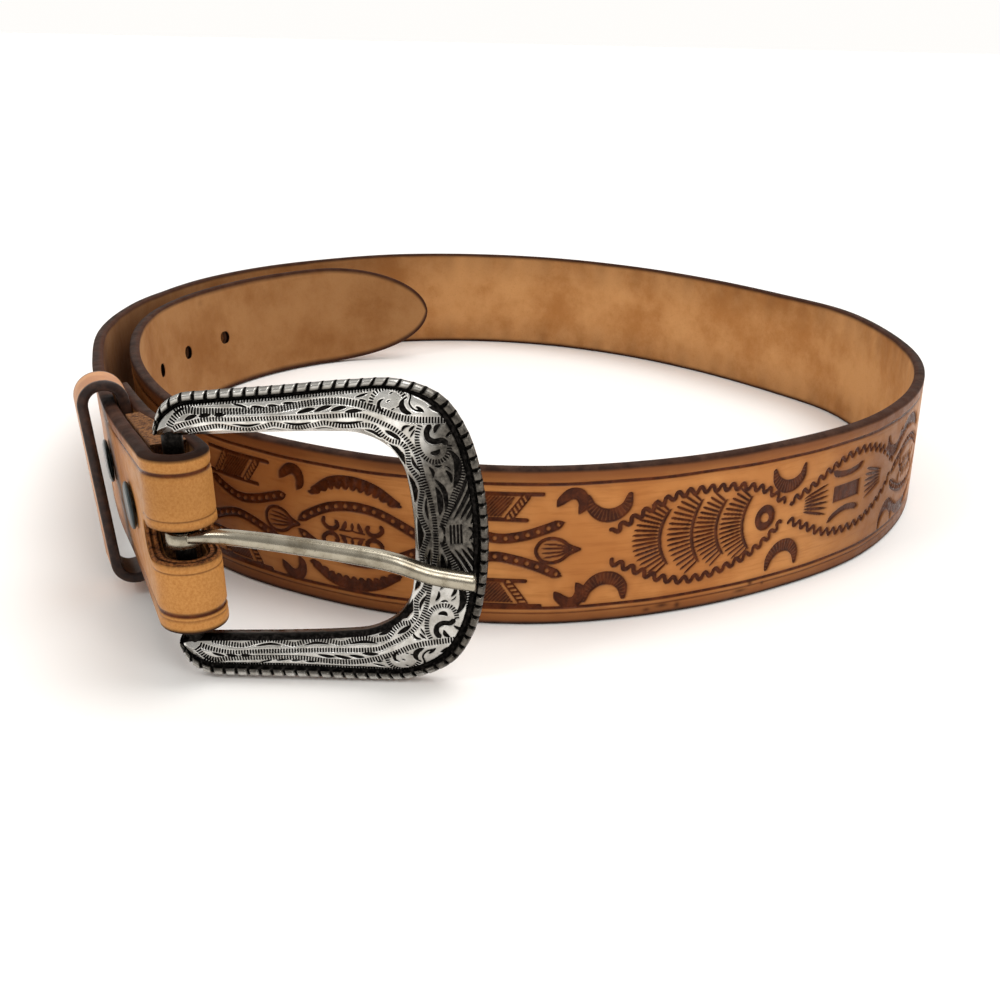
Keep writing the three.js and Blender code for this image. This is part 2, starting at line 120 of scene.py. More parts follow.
# The middle of the strap's outer face: across is a share of LOOP_WIDTH from the middle, along a share of
# LOOP_DEPTH from the front, and lean the degrees by which the top edge stands out.
ROUTE_COLUMNS = ("across", "along", "lean")
ROUTE_ROWS = (
    (-0.338, 0.034, 6), (-0.385, 0.135, 4.5), (-0.427, 0.238, 3.5), (-0.475, 0.384, 2),
    (-0.494, 0.51, 1), (-0.49, 0.622, 1), (-0.453, 0.744, 1), (-0.385, 0.844, 2),
    (-0.302, 0.916, 2), (-0.191, 0.976, 3), (-0.058, 0.996, 3), (0.078, 0.977, 3),
    (0.21, 0.917, 2), (0.319, 0.832, 1), (0.412, 0.728, 0), (0.475, 0.636, 0),
    (0.5, 0.515, 0), (0.494, 0.384, 0), (0.45, 0.265, 0), (0.377, 0.164, 0),
    (0.293, 0.097, 0), (0.166, 0.032, 0), (0.036, 0.001, 0), (-0.078, 0.01, 0),
    (-0.187, 0.049, 0), (-0.267, 0.098, 0), (-0.337, 0.173, 1), (-0.41, 0.307, 3),
    (-0.451, 0.453, 5), (-0.455, 0.557, 6), (-0.429, 0.664, 7), (-0.363, 0.777, 8.5),
    (-0.272, 0.852, 10), (-0.128, 0.894, 10),
)

# One half of the buckle's band, as shares of BUCKLE_LENGTH from the bar and of half of BUCKLE_HEIGHT
BAND_COLUMNS = ("outer_along", "outer_up", "inner_along", "inner_up")
BAND_ROWS = (
    (-0.048, 0.72, -0.045, 0.68), (-0.02, 0.854, -0.015, 0.672), (0.04, 0.935, 0.031, 0.672),
    (0.124, 0.952, 0.108, 0.674), (0.341, 0.974, 0.302, 0.68), (0.557, 1, 0.48, 0.676),
    (0.7, 0.995, 0.57, 0.66), (0.824, 0.89, 0.65, 0.58), (0.893, 0.69, 0.694, 0.46),
    (0.935, 0.391, 0.713, 0.29),
)
BAND_MIDDLE = (0.951, 0, 0.722, 0)

# The band's height as a share of the crown: place 0 to 1 crosses the rim, 1 to 2 the field inside it.
BAND_SECTION = (
    (0, 0.55), (0.2, 0.85), (0.65, 0.85), (1, 0.6), (1.12, 0.72), (1.5, 1), (1.88, 0.72), (2, 0.35),
)

# The tongue's centre line: shares of its length, of its stand over the frame, of its drop and its girth
TONGUE_COLUMNS = ("along", "out", "drop", "girth")
TONGUE_ROWS = (
    (0.03, 0.68, -0.1, 0.6), (0.12, 0.76, -0.13, 0.76), (0.19, 0.84, -0.11, 0.84),
    (0.41, 0.95, 0.08, 0.92), (0.68, 1, 0.39, 1.04), (0.75, 1.03, 0.51, 1.06),
    (0.85, 1.03, 0.75, 1.02), (1, 1, 0.95, 0.94),
)


# Curves

class Curve:
    """A centripetal curve through points. It is read by its share of rows, or by its own length."""

    def __init__(self, points, divisions=3000):
        points = np.asarray(points, float)
        self.count = len(points)
        self.points = np.vstack([2 * points[0] - points[1], points, 2 * points[-1] - points[-2]])
        self.gaps = np.maximum(np.sum(np.diff(self.points, axis=0) ** 2, axis=1) ** 0.25, 1e-4)
        self.table = np.linspace(0, 1, divisions + 1)
        steps = np.linalg.norm(np.diff(self.at(self.table), axis=0), axis=1)
        self.lengths = np.concatenate([[0], np.cumsum(steps)])
        self.length = self.lengths[-1]

    def at(self, share):
        reach = np.clip(np.asarray(share, float), 0, 1) * (self.count - 1)
        index = np.minimum(reach.astype(int), self.count - 2)
        part = (reach - index)[..., None]
        before, start, end, after = (self.points[index + k] for k in range(4))
        gap_before, gap, gap_after = (self.gaps[index + k][..., None] for k in range(3))
        leave = (start - before) / gap_before - (end - before) / (gap_before + gap) + (end - start) / gap
        reach_in = (end - start) / gap - (after - start) / (gap + gap_after) + (after - end) / gap_after
        leave, reach_in = leave * gap, reach_in * gap
        square = -3 * start + 3 * end - 2 * leave - reach_in
        cube = 2 * start - 2 * end + leave + reach_in
        return start + leave * part + square * part ** 2 + cube * part ** 3

    def tangent(self, share):
        step = self.at(np.minimum(share + 1e-4, 1)) - self.at(np.maximum(share - 1e-4, 0))
        return step / np.linalg.norm(step, axis=-1, keepdims=True)

    def share_at(self, length):
        return np.interp(length, self.lengths, self.table)

    def every(self, spacing):
        """Points at even lengths, and their lengths."""
        count = max(int(round(self.length / spacing)), 2)
        lengths = np.linspace(0, self.length, count + 1)
        return self.at(self.share_at(lengths)), lengths


def left_of(heading):
    return np.stack([-heading[..., 1], heading[..., 0]], axis=-1)


def smooth(edge_low, edge_high, value):
    """0 below edge_low, 1 above edge_high, and a smooth rise between them"""
    share = np.clip((value - edge_low) / (edge_high - edge_low), 0, 1)
    return share * share * (3 - 2 * share)


# The strap's route

BAR = np.array([BAR_ACROSS * LOOP_WIDTH, BAR_ALONG * LOOP_DEPTH])
FOLD_RADIUS = BAR_RADIUS + FOLD_CLEARANCE + HALF_THICKNESS
FOLD_RUN = math.pi * FOLD_RADIUS


def layer_curve():
    rows = np.array(ROUTE_ROWS, float)
    face = np.stack([rows[:, 0] * LOOP_WIDTH, rows[:, 1] * LOOP_DEPTH, np.radians(rows[:, 2])], axis=1)
    headings = Curve(face, 10).tangent(np.linspace(0, 1, len(face)))
    face[:, :2] -= left_of(headings) * HALF_THICKNESS
    to_first = face[0, :2] - BAR
    heading = math.atan2(to_first[1], to_first[0]) - math.asin(FOLD_RADIUS / np.linalg.norm(to_first))
    fold_end = BAR + FOLD_RADIUS * np.array([-math.sin(heading), math.cos(heading)])
    first = [fold_end[0], fold_end[1], math.radians(FOLD_LEAN)]
    return Curve(np.vstack([[first], face])), heading


LAYER, FOLD_HEADING = layer_curve()
FLAP_RESTS = STRAP_THICKNESS + KEEPER_THICKNESS + 2 * SEAT_GAP


def bar_height():
    tilt = math.radians(BUCKLE_LEAN)
    rows = np.array(BAND_ROWS)
    depths = rows[:, 1] * BUCKLE_HEIGHT / 2 * math.cos(tilt) - rows[:, 0] * BUCKLE_LENGTH * math.sin(tilt)
    return depths.max() + BUCKLE_FOOT_GAP


BAR_HEIGHT = bar_height()


def layer_place(run):
    share = LAYER.share_at(run)
    point = LAYER.at(share)
    outward = left_of(LAYER.tangent(share))
    outward /= np.linalg.norm(outward, axis=-1, keepdims=True)
    return point[..., :2], outward, point[..., 2]


def fold_place(turn):
    angle = FOLD_HEADING - math.pi / 2 - turn * math.pi
    outward = np.stack([np.cos(angle), np.sin(angle)], axis=-1)
    return BAR + outward * FOLD_RADIUS, outward, -math.radians(FOLD_LEAN) * np.cos(math.pi * turn)


def flap_gap(run):
    opening = (1 + np.cos(math.pi * np.minimum(run / FLAP_CLOSES, 1))) / 2
    return FLAP_RESTS + (2 * FOLD_RADIUS - FLAP_RESTS) * opening


def flap_thickness(run):
    skived = np.clip((run - FLAP_LENGTH + SKIVE_LENGTH) / SKIVE_LENGTH, 0, 1)
    return STRAP_THICKNESS + (FLAP_END_THICKNESS - STRAP_THICKNESS) * skived


def flap_place(run):
    centre, outward, lean = layer_place(run)
    skived = (STRAP_THICKNESS - flap_thickness(run)) / 2
    return centre + outward * (skived - flap_gap(run))[..., None], -outward, -lean


def strap_place(run):
    """Centre, outward direction, lean and height run of the whole strap; runs below 0 are the fold and flap."""
    on_layer = layer_place(np.maximum(run, 0))
    on_fold = fold_place(np.clip(1 + run / FOLD_RUN, 0, 1))
    flap_run = np.maximum(-FOLD_RUN - run, 0)
    on_flap = flap_place(flap_run)
    layer = run >= 0
    fold = (run < 0) & (run >= -FOLD_RUN)
    centre = np.where(layer[..., None], on_layer[0], np.where(fold[..., None], on_fold[0], on_flap[0]))
    outward = np.where(layer[..., None], on_layer[1], np.where(fold[..., None], on_fold[1], on_flap[1]))
    lean = np.where(layer, on_layer[2], np.where(fold, on_fold[2], on_flap[2]))
    return centre, outward, lean, np.where(layer, run, np.where(fold, 0, flap_run))


def lift_at(run):
    rise = BAR_HEIGHT - HALF_WIDTH
    return rise * (1 - np.clip(run / SETTLE_RUN, 0, 1)) ** SETTLE_POWER


def stand_off(place, out, up):
    """Points out from a place on the strap and up from the middle of its width"""
    centre, outward, lean, run = place
    level, fall = np.cos(lean), -np.sin(lean)
    over = np.sin(lean) * up
    middle = level * HALF_WIDTH + np.abs(fall) * HALF_THICKNESS
    plan = centre + outward * (level * out + over)[..., None]
    height = lift_at(run) + middle + fall * out + level * up
    return np.concatenate([plan, height[..., None]], axis=-1)


# From the route's origin to the frame's
SHIFT = np.array([-0.684, -127.658, 0.0])


def on_strap(run, up, out):
    """Points of the strap in the frame, from flat places on it"""
    run, up, out = np.broadcast_arrays(np.asarray(run, float), up, out)
    return stand_off(strap_place(run), out, up) + SHIFT


# Meshes

def make_piece(name, points, faces, material, body, replaced=(), fields=None):
    """A mesh from points in millimetres and index arrays of faces, outward faces made sure of"""
    used, where = np.unique(np.concatenate([group.ravel() for group in faces]), return_inverse=True)
    points = points[used]
    groups = []
    start = 0
    for group in faces:
        groups.append(where[start:start + group.size].reshape(group.shape))
        start += group.size
    volume = 0
    for group in groups:
        corner = points[group]
        for k in range(1, group.shape[1] - 1):
            volume += np.einsum("ij,ij->", corner[:, 0], np.cross(corner[:, k], corner[:, k + 1]))
    if volume < 0:
        groups = [group[:, ::-1] for group in groups]
    mesh = bpy.data.meshes.new(name)
    mesh.vertices.add(len(points))
    mesh.vertices.foreach_set("co", (points * METRES).astype(np.float32).ravel())
    sizes = np.concatenate([np.full(len(group), group.shape[1]) for group in groups])
    loops = np.concatenate([group.ravel() for group in groups])
    mesh.loops.add(len(loops))
    mesh.loops.foreach_set("vertex_index", loops.astype(np.int32))
    mesh.polygons.add(len(sizes))
    mesh.polygons.foreach_set("loop_start", np.concatenate([[0], np.cumsum(sizes)[:-1]]).astype(np.int32))
    mesh.polygons.foreach_set("use_smooth", np.ones(len(sizes), bool))
    mesh.update(calc_edges=True)
    for key, values in (fields or {}).items():
        layer = mesh.attributes.new(key, "FLOAT", "POINT")
        layer.data.foreach_set("value", np.asarray(values, float).ravel()[used].astype(np.float32))
    mesh.materials.append(material)
    obj = bpy.data.objects.new(name, mesh)
    bpy.context.scene.collection.objects.link(obj)
    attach(obj, body)
    if replaced:
        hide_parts(*replaced)
    return obj


def grid_faces(index, closed=False):
    """Four-sided faces between the rows and columns of an index array"""
    if closed:
        index = np.concatenate([index, index[:, :1]], axis=1)
    return np.stack([index[:-1, :-1], index[1:, :-1], index[1:, 1:], index[:-1, 1:]], axis=-1).reshape(-1, 4)


def fan_cap(ring, centre):
    """Three-sided faces from a closed ring to a centre point"""
    return np.stack([ring, np.roll(ring, -1), np.full(len(ring), centre)], axis=1)


# Strap

def half_width(run):
    """Half of the strap's width, which draws in round the billet's tip"""
    left = np.clip((LAYER.length - run) / TIP_LENGTH, 0, 1)
    return HALF_WIDTH * np.sqrt(1 - (1 - left) ** 2)


def thickness(run):
    return np.where(run < -FOLD_RUN, flap_thickness(-FOLD_RUN - run), STRAP_THICKNESS)


# Where an unpierced inner face has its columns, as shares of its half width
BACK_SHARES = (1, 0.972, 0.94, 0.33, -0.33, -0.94, -0.972, -1)


class Panel:
    """A length of the strap: its outer face, its rounded edges and its inner face, as one closed section"""

    def __init__(self, runs, face_steps, back_steps=None, edge_steps=8):
        self.runs = np.asarray(runs, float)
        half = half_width(self.runs)[:, None]
        thick = thickness(self.runs)[:, None]
        rounding = np.minimum(np.minimum(EDGE_ROUNDING, 0.9 * half), 0.3 * thick)
        across = np.linspace(-1, 1, face_steps + 1)[None, :]
        across_back = (np.array(BACK_SHARES) if back_steps is None else np.linspace(1, -1, back_steps + 1))[None, :]
        back_steps = across_back.shape[1] - 1
        turn = np.linspace(0, math.pi, edge_steps + 1)[1:-1][None, :]
        flat = np.clip(thick / 2 - rounding, 0, None)
        edge_out = np.cos(turn) * rounding + np.sign(np.cos(turn).round(6)) * flat
        edge_up = half - rounding + np.sin(turn) * rounding
        self.face = slice(0, face_steps + 1)
        self.back = slice(face_steps + edge_steps, face_steps + edge_steps + back_steps + 1)
        self.up = np.concatenate([
            across * (half - rounding), edge_up, across_back * (half - rounding), -edge_up,
        ], axis=1)
        self.out = np.concatenate([
            np.broadcast_to(thick / 2, (len(self.runs), face_steps + 1)), edge_out,
            np.broadcast_to(-thick / 2, (len(self.runs), back_steps + 1)), -edge_out,
        ], axis=1)
        self.run = np.broadcast_to(self.runs[:, None], self.up.shape).copy()
        self.index = np.arange(self.up.size).reshape(self.up.shape)
        self.keep = np.ones((len(self.runs) - 1, self.up.shape[1]), bool)
        self.extra_places = []
        self.extra_faces = []
        self.count = self.up.size

    def add_places(self, run, up, out):
        first = self.count
        self.extra_places.append(np.stack(np.broadcast_arrays(run, up, out), axis=-1).reshape(-1, 3))
        self.count += len(self.extra_places[-1])
        return np.arange(first, self.count)

    def pierce(self, middle, up, length, width, margin=1.2, bevel=0.25):
        """A slot with round ends through both faces, along the run. The faces have the same steps."""
        face_steps = self.face.stop - 1
        row_low = np.searchsorted(self.runs, middle - length / 2 - margin) - 1
        row_high = np.searchsorted(self.runs, middle + length / 2 + margin)
        ups = self.up[row_low, self.face]
        column_low = np.searchsorted(ups, up - width / 2 - margin) - 1
        column_high = np.searchsorted(ups, up + width / 2 + margin)
        rows = np.arange(row_low, row_high + 1)
        columns = np.arange(column_low, column_high + 1)
        loop = [(row, column_low) for row in rows[:-1]]
        loop += [(row_high, column) for column in columns[:-1]]
        loop += [(row, column_high) for row in rows[:0:-1]]
        loop += [(row_low, column) for column in columns[:0:-1]]
        loop = np.array(loop)
        straight = max((length - width) / 2, 0)
        end_width = min(width, length) / 2
        across = self.up[loop[:, 0], loop[:, 1]] - up
        along = self.runs[loop[:, 0]] - middle
        core = np.clip(along, -straight, straight)
        reach = np.hypot(along - core, across)
        thick = thickness(np.array([middle]))[0]
        rings = []
        for side in (1, -1):
            column = loop[:, 1] if side > 0 else self.back.start + face_steps - loop[:, 1]
            ring = self.index[loop[:, 0], column]
            side_rings = [ring]
            for share, inset, depth in ((0.45, 0, 0), (0.8, 0, 0), (1, bevel, 0), (1, bevel * 0.3, bevel * 0.3), (1, 0, bevel)):
                radius = reach + (end_width + inset - reach) * share
                run = middle + core + (along - core) / reach * radius
                height = up + across / reach * radius
                side_rings.append(self.add_places(run, height, side * (thick / 2 - depth)))
            for first, second in zip(side_rings[:-1], side_rings[1:]):
                faces = grid_faces(np.stack([first, second]), closed=True)
                self.extra_faces.append(faces if side < 0 else faces[:, ::-1])
            rings.append(side_rings[-1])
            low, high = sorted((column.min(), column.max()))
            self.keep[row_low:row_high, low:high] = False
        self.extra_faces.append(grid_faces(np.stack(rings), closed=True))

    def places(self):
        places = np.stack([self.run, self.up, self.out], axis=-1).reshape(-1, 3)
        return np.concatenate([places, *self.extra_places])

    def faces(self, cap_start=False, cap_end=False):
        closed = np.concatenate([self.index, self.index[:, :1]], axis=1)
        cells = np.stack([closed[:-1, :-1], closed[1:, :-1], closed[1:, 1:], closed[:-1, 1:]], axis=-1)
        groups = [cells[self.keep]] + self.extra_faces
        quads = [np.concatenate(groups)]
        caps = []
        if cap_start:
            centre = self.add_places(self.runs[0], 0, 0)[0]
            caps.append(fan_cap(self.index[0][::-1], centre))
        if cap_end:
            centre = self.add_places(self.runs[-1], 0, 0)[0]
            caps.append(fan_cap(self.index[-1], centre))
        return quads + caps


# Relief: stamps and engraving, drawn as depth in millimetres and tone from 0, bare, to 1, darkest

def soft_edge(distance, half, soft=0.1):
    """1 within half, 0 beyond it, with a soft edge"""
    return 1 - smooth(-soft, soft, distance - half)


class Relief:
    def __init__(self, left, right, low, high, step):
        self.left, self.low, self.step = left, low, step
        self.x = np.arange(left, right + step / 2, step)
        self.y = np.arange(low, high + step / 2, step)
        self.tone = np.zeros((len(self.x), len(self.y)), np.float32)
        self.depth = np.zeros_like(self.tone)

    def window(self, left, right, low, high):
        columns = slice(max(int((left - self.left) / self.step), 0),
                        max(int((right - self.left) / self.step) + 2, 0))
        rows = slice(max(int((low - self.low) / self.step), 0),
                     max(int((high - self.low) / self.step) + 2, 0))
        return columns, rows

    def around(self, points, reach):
        low, high = np.min(points, axis=0) - reach, np.max(points, axis=0) + reach
        return self.window(low[0], high[0], low[1], high[1])

    def press(self, window, mask, tone, depth):
        """The darker tone and the greater depth stay."""
        self.tone[window] = np.maximum(self.tone[window], mask * tone)
        self.depth[window] = np.maximum(self.depth[window], mask * depth)

    def lift(self, window, mask, tone, depth):
        """Sets a tone and depth over what is there."""
        self.tone[window] += mask * (tone - self.tone[window])
        self.depth[window] += mask * (depth - self.depth[window])

    def follow(self, line, reach, spacing=0.25):
        """Distance from a smooth line, length along it and side of it, for the cells near it"""
        points, lengths = line_points(line, spacing)
        window = self.around(points, reach)
        x, y = np.meshgrid(self.x[window[0]], self.y[window[1]], indexing="ij")
        near = np.full(x.shape, 99.0)
        along = np.zeros(x.shape)
        side = np.ones(x.shape)
        for first in range(0, len(points) - 1, 12):
            part = points[first:first + 13]
            inner = self.around(part, reach)
            inner = tuple(slice(a.start - b.start, a.stop - b.start) for a, b in zip(inner, window))
            place = np.stack([x[inner], y[inner]], axis=-1)[..., None, :]
            start, step = part[:-1], np.diff(part, axis=0)
            size = np.maximum(np.sum(step ** 2, axis=1), 1e-9)
            share = np.clip(np.sum((place - start) * step, axis=-1) / size, 0, 1)
            offset = place - start - share[..., None] * step
            distance = np.hypot(offset[..., 0], offset[..., 1])
            best = np.argmin(distance, axis=-1)[..., None]
            take = lambda values: np.take_along_axis(values, best, axis=-1)[..., 0]
            turn = np.sign(step[:, 0] * offset[..., 1] - step[:, 1] * offset[..., 0])
            reached = lengths[first:first + len(start)] + share * np.sqrt(size)
            distance = take(distance)
            closer = distance < near[inner]
            near[inner] = np.where(closer, distance, near[inner])
            along[inner] = np.where(closer, take(reached), along[inner])
            side[inner] = np.where(closer, take(turn), side[inner])
        return window, near, along, side, lengths[-1]

    def stroke(self, line, width, tone=1.0, depth=0.3, taper=0.0, soft=0.1):
        """A line of a width. taper is the part of each end over which it thins out."""
        window, near, along, _, total = self.follow(line, width / 2 + 0.4)
        self.press(window, soft_edge(near, width / 2 * end_width(along, total, taper), soft), tone, depth)

    def leaf(self, line, width, tone=1.0, depth=0.3):
        """A stroke widest in its middle, with pointed ends"""
        window, near, along, _, total = self.follow(line, width / 2 + 0.4)
        swell = np.sin(math.pi * np.clip(along / total, 0, 1)) ** 0.6
        self.press(window, soft_edge(near, width / 2 * swell - 0.03, 0.08), tone, depth)

    def ticks(self, line, length, pitch, share=0.5, offset=0.0, tone=1.0, depth=0.2):
        """Short strokes across a line, on both sides of it"""
        reach = length / 2 + abs(offset) + 0.3
        window, near, along, side, _ = self.follow(line, reach)
        across = soft_edge(np.abs(near * side - offset), length / 2, 0.06)
        phase = np.abs((along / pitch) % 1 - 0.5) * pitch
        self.press(window, across * soft_edge(phase, pitch * share / 2, 0.06), tone, depth)

    def disc(self, x, y, radius, tone=1.0, depth=0.3, inner=0.0):
        window = self.window(x - radius - 0.4, x + radius + 0.4, y - radius - 0.4, y + radius + 0.4)
        reach = np.hypot(*np.meshgrid(self.x[window[0]] - x, self.y[window[1]] - y, indexing="ij"))
        mask = soft_edge(reach, radius)
        if inner:
            mask *= 1 - soft_edge(reach, inner)
        self.press(window, mask, tone, depth)

    def stamp(self, other, at, flip=1):
        """Presses another relief of the same step, moved along by at"""
        first = int(round((other.left + at - self.left) / self.step))
        start, stop = max(first, 0), min(first + len(other.x), len(self.x))
        if stop <= start:
            return
        columns = slice(start, stop)
        theirs = slice(start - first, stop - first)
        self.tone[columns] = np.maximum(self.tone[columns], other.tone[theirs, ::flip])
        self.depth[columns] = np.maximum(self.depth[columns], other.depth[theirs, ::flip])

    def halo(self, reach):
        """The tone, spread over its surroundings"""
        steps = int(reach / self.step)
        spread = self.tone
        for axis in (0, 1, 0, 1):
            padded = np.pad(spread, [(steps + 1, steps) if axis == k else (0, 0) for k in (0, 1)], mode="edge")
            total = np.cumsum(padded, axis=axis, dtype=float)
            behind = np.take(total, range(total.shape[axis] - 2 * steps - 1), axis)
            ahead = np.take(total, range(2 * steps + 1, total.shape[axis]), axis)
            spread = (ahead - behind) / (2 * steps + 1)
        spread_relief = Relief(self.left, self.x[-1], self.low, self.y[-1], self.step)
        spread_relief.tone = spread.astype(np.float32)
        return spread_relief

    def read(self, x, y):
        """Tone and depth at places, smoothly between the cells; 0 beyond the edges"""
        across = (np.asarray(x) - self.left) / self.step
        up = (np.asarray(y) - self.low) / self.step
        inside = (across >= 0) & (across <= len(self.x) - 1) & (up >= 0) & (up <= len(self.y) - 1)
        i = np.clip(across.astype(int), 0, len(self.x) - 2)
        j = np.clip(up.astype(int), 0, len(self.y) - 2)
        a, b = np.clip(across - i, 0, 1), np.clip(up - j, 0, 1)
        found = []
        for grid in (self.tone, self.depth):
            value = (grid[i, j] * (1 - a) * (1 - b) + grid[i + 1, j] * a * (1 - b)
                     + grid[i, j + 1] * (1 - a) * b + grid[i + 1, j + 1] * a * b)
            found.append(np.where(inside, value, 0))
        return found


def line_points(line, spacing=0.25):
    line = np.asarray(line, float)
    if len(line) == 2:
        total = np.linalg.norm(line[1] - line[0])
        shares = np.linspace(0, 1, max(int(total / 2), 1) + 1)
        return line[0] + (line[1] - line[0]) * shares[:, None], total * shares
    return Curve(line, 40 * len(line)).every(spacing)


def end_width(along, total, taper):
    if not taper:
        return 1.0
    return np.sqrt(np.clip(np.minimum(along, total - along) / (taper * total), 0.02, 1))


def arc(x, y, radius, first, last, count=12):
    """Points on a circle, between two directions in degrees"""
    turns = np.radians(np.linspace(first, last, count))
    return np.stack([x + radius * np.cos(turns), y + radius * np.sin(turns)], axis=1)


def mirrored(line, middle=0.0):
    return [(x, 2 * middle - y) for x, y in line]


# Tooling of the strap. A unit's places are (along the run, up from the middle of the width).

STAMP_DEPTH = 0.55
CELL = 0.125
TOOLING_FIRST, TOOLING_LAST = 84, 932
UNIT_MIDDLE = -0.6


def waved(line, height, pitch):
    """A line that swings from side to side in blunt waves"""
    points, lengths = line_points(line, 0.12)
    step = np.gradient(points, axis=0)
    normal = left_of(step / np.linalg.norm(step, axis=1, keepdims=True))
    return points + normal * (height * np.tanh(1.2 * np.sin(2 * math.pi * lengths / pitch)))[:, None]


def serpentine(relief, line):
    points = waved(line, 0.85, 2.95)
    window, near, *_ = relief.follow(points[::3], 1.2)
    relief.press(window, soft_edge(near, 0.54, 0.12), 1.0, STAMP_DEPTH)


def beaded_band(relief, line, width=2.5, pitch=2.45):
    window, near, along, _, total = relief.follow(line, width / 2 + 0.4)
    half = width / 2 * end_width(along, total, 0.06)
    relief.press(window, soft_edge(near, half, 0.15), 0.88, STAMP_DEPTH)
    rim = soft_edge(np.abs(near - half + 0.25), 0.16, 0.1)
    relief.press(window, rim, 1.0, STAMP_DEPTH + 0.12)
    phase = (along % pitch) - pitch / 2
    bead = soft_edge(np.hypot(near, phase), 0.5, 0.16) * (along > 1) * (along < total - 1)
    relief.lift(window, bead, 0.3, 0.05)


def horned(relief, line, width, pitch=0.85, side=1):
    """A crescent stamp, thickest in its middle, with ribs across it"""
    window, near, along, _, total = relief.follow(line, width / 2 + 0.4)
    share = np.clip(along / total, 0, 1)
    half = width / 2 * np.sin(math.pi * (0.06 + 0.88 * share)) ** 0.55
    mask = soft_edge(near, half, 0.15)
    relief.press(window, mask, 0.95, STAMP_DEPTH)
    rib = soft_edge(np.abs((along / pitch) % 1 - 0.5) * pitch, pitch * 0.2, 0.12)
    relief.lift(window, mask * rib * soft_edge(near, half - 0.35, 0.15) * 0.8, 0.5, STAMP_DEPTH * 0.6)


def scalloped(relief, line, width, pitch, side):
    """A long crescent with a scalloped inner edge and ribs that end in it"""
    window, near, along, turn, total = relief.follow(line, width + 0.6)
    share = np.clip(along / total, 0, 1)
    swell = np.sin(math.pi * (0.1 + 0.8 * share)) ** 0.5
    phase = (along / pitch) % 1 - 0.5
    inner = width * swell * (0.62 + 0.38 * np.sqrt(np.abs(np.cos(math.pi * phase))))
    offset = near * turn * side
    mask = soft_edge(np.abs(offset - inner / 2 + 0.2), inner / 2 + 0.2, 0.14)
    relief.press(window, mask, 0.97, STAMP_DEPTH * 0.9)
    rib = soft_edge(np.abs(phase) * pitch, pitch * 0.16, 0.12) * soft_edge(np.abs(offset - inner / 2), inner / 2, 0.1)
    relief.lift(window, mask * rib * 0.5, 0.6, STAMP_DEPTH * 0.4)
    gap = soft_edge(0.5 * pitch - np.abs(phase) * pitch, 0.12, 0.1)
    relief.press(window, mask * gap, 1.0, STAMP_DEPTH + 0.1)


def rays(relief, x, y, inner, outer, first, last, count, width=0.5, tone=0.95):
    for turn in np.radians(np.linspace(first, last, count)):
        near, far = (np.array([x + r * math.cos(turn), y + r * math.sin(turn)]) for r in (inner, outer))
        relief.stroke([near, far], width, tone, STAMP_DEPTH, taper=0.3)


def shell(relief, inner_x, outer_x, low, high, count=17):
    """A fan of rays from a bowed line, as pressed by a shell stamp"""
    middle = (low + high) / 2
    half = (high - low) / 2
    bow = 2.5
    for share in np.linspace(-1, 1, count):
        start = (inner_x + 0.3 - bow * share ** 2, middle + half * 0.93 * share)
        turn = math.radians(54 * share)
        reach = (outer_x - inner_x) * (1.22 - 0.1 * share ** 2)
        end = (start[0] + reach * math.cos(turn), start[1] + reach * math.sin(turn) * 0.62)
        relief.stroke([start, end], 0.62, 0.98, STAMP_DEPTH, taper=0.16)
    bowed = [(inner_x - bow * part ** 2, middle + half * part) for part in np.linspace(-1, 1, 9)]
    relief.stroke(bowed, 1.0, 0.7, STAMP_DEPTH * 0.7, taper=0.1)
    relief.stroke([(x - 0.35, y) for x, y in bowed], 0.4, 1.0, STAMP_DEPTH, taper=0.1)


def hatched(relief, line, spacing=0.85):
    """Diagonal hatching within a many-sided outline"""
    corners = np.asarray(line, float)
    window = relief.around(corners, 0.3)
    x, y = np.meshgrid(relief.x[window[0]], relief.y[window[1]], indexing="ij")
    inside = np.ones(x.shape, bool)
    area = np.sum(corners[:, 0] * np.roll(corners[:, 1], -1) - np.roll(corners[:, 0], -1) * corners[:, 1])
    for start, end in zip(corners, np.roll(corners, -1, axis=0)):
        step = end - start
        inside &= np.sign(area) * (step[0] * (y - start[1]) - step[1] * (x - start[0])) > 0
    phase = np.abs(((x + y * 0.9) / spacing) % 1 - 0.5) * spacing
    relief.press(window, inside * 1.0, 0.62, STAMP_DEPTH * 0.6)
    relief.press(window, inside * soft_edge(phase, 0.2, 0.1), 1.0, STAMP_DEPTH)


def beam(relief, start, end, width=1.0):
    relief.stroke([start, end], width, 1.0, STAMP_DEPTH, soft=0.12)


def rope(relief, start, end, width=2.0, pitch=1.15):
    line = [start, end]
    window, near, along, side, _ = relief.follow(line, width / 2 + 0.3)
    mask = soft_edge(near, width / 2, 0.12)
    relief.press(window, mask, 0.95, STAMP_DEPTH)
    phase = np.abs(((along + near * side * 0.5) / pitch) % 1 - 0.5) * pitch
    bead = mask * soft_edge(near, width / 2 - 0.35, 0.12) * soft_edge(phase, pitch * 0.24, 0.14)
    relief.lift(window, bead, 0.1, 0.0)


def draw_bar_block(relief, flip):
    """Two bars joined by ropes with hatching between them"""
    def at(x, y):
        return (x, y if flip > 0 else -1.2 - y)
    beam(relief, at(8.5, 13.0), at(29.5, 12.9))
    beam(relief, at(12.0, 6.8), at(31.5, 6.8))
    rope(relief, at(12.2, 12.4), at(15.8, 7.3))
    rope(relief, at(23.2, 12.4), at(26.6, 7.3))
    hatched(relief, [at(14.4, 12.3), at(22.0, 12.3), at(24.8, 7.4), at(17.6, 7.4)])


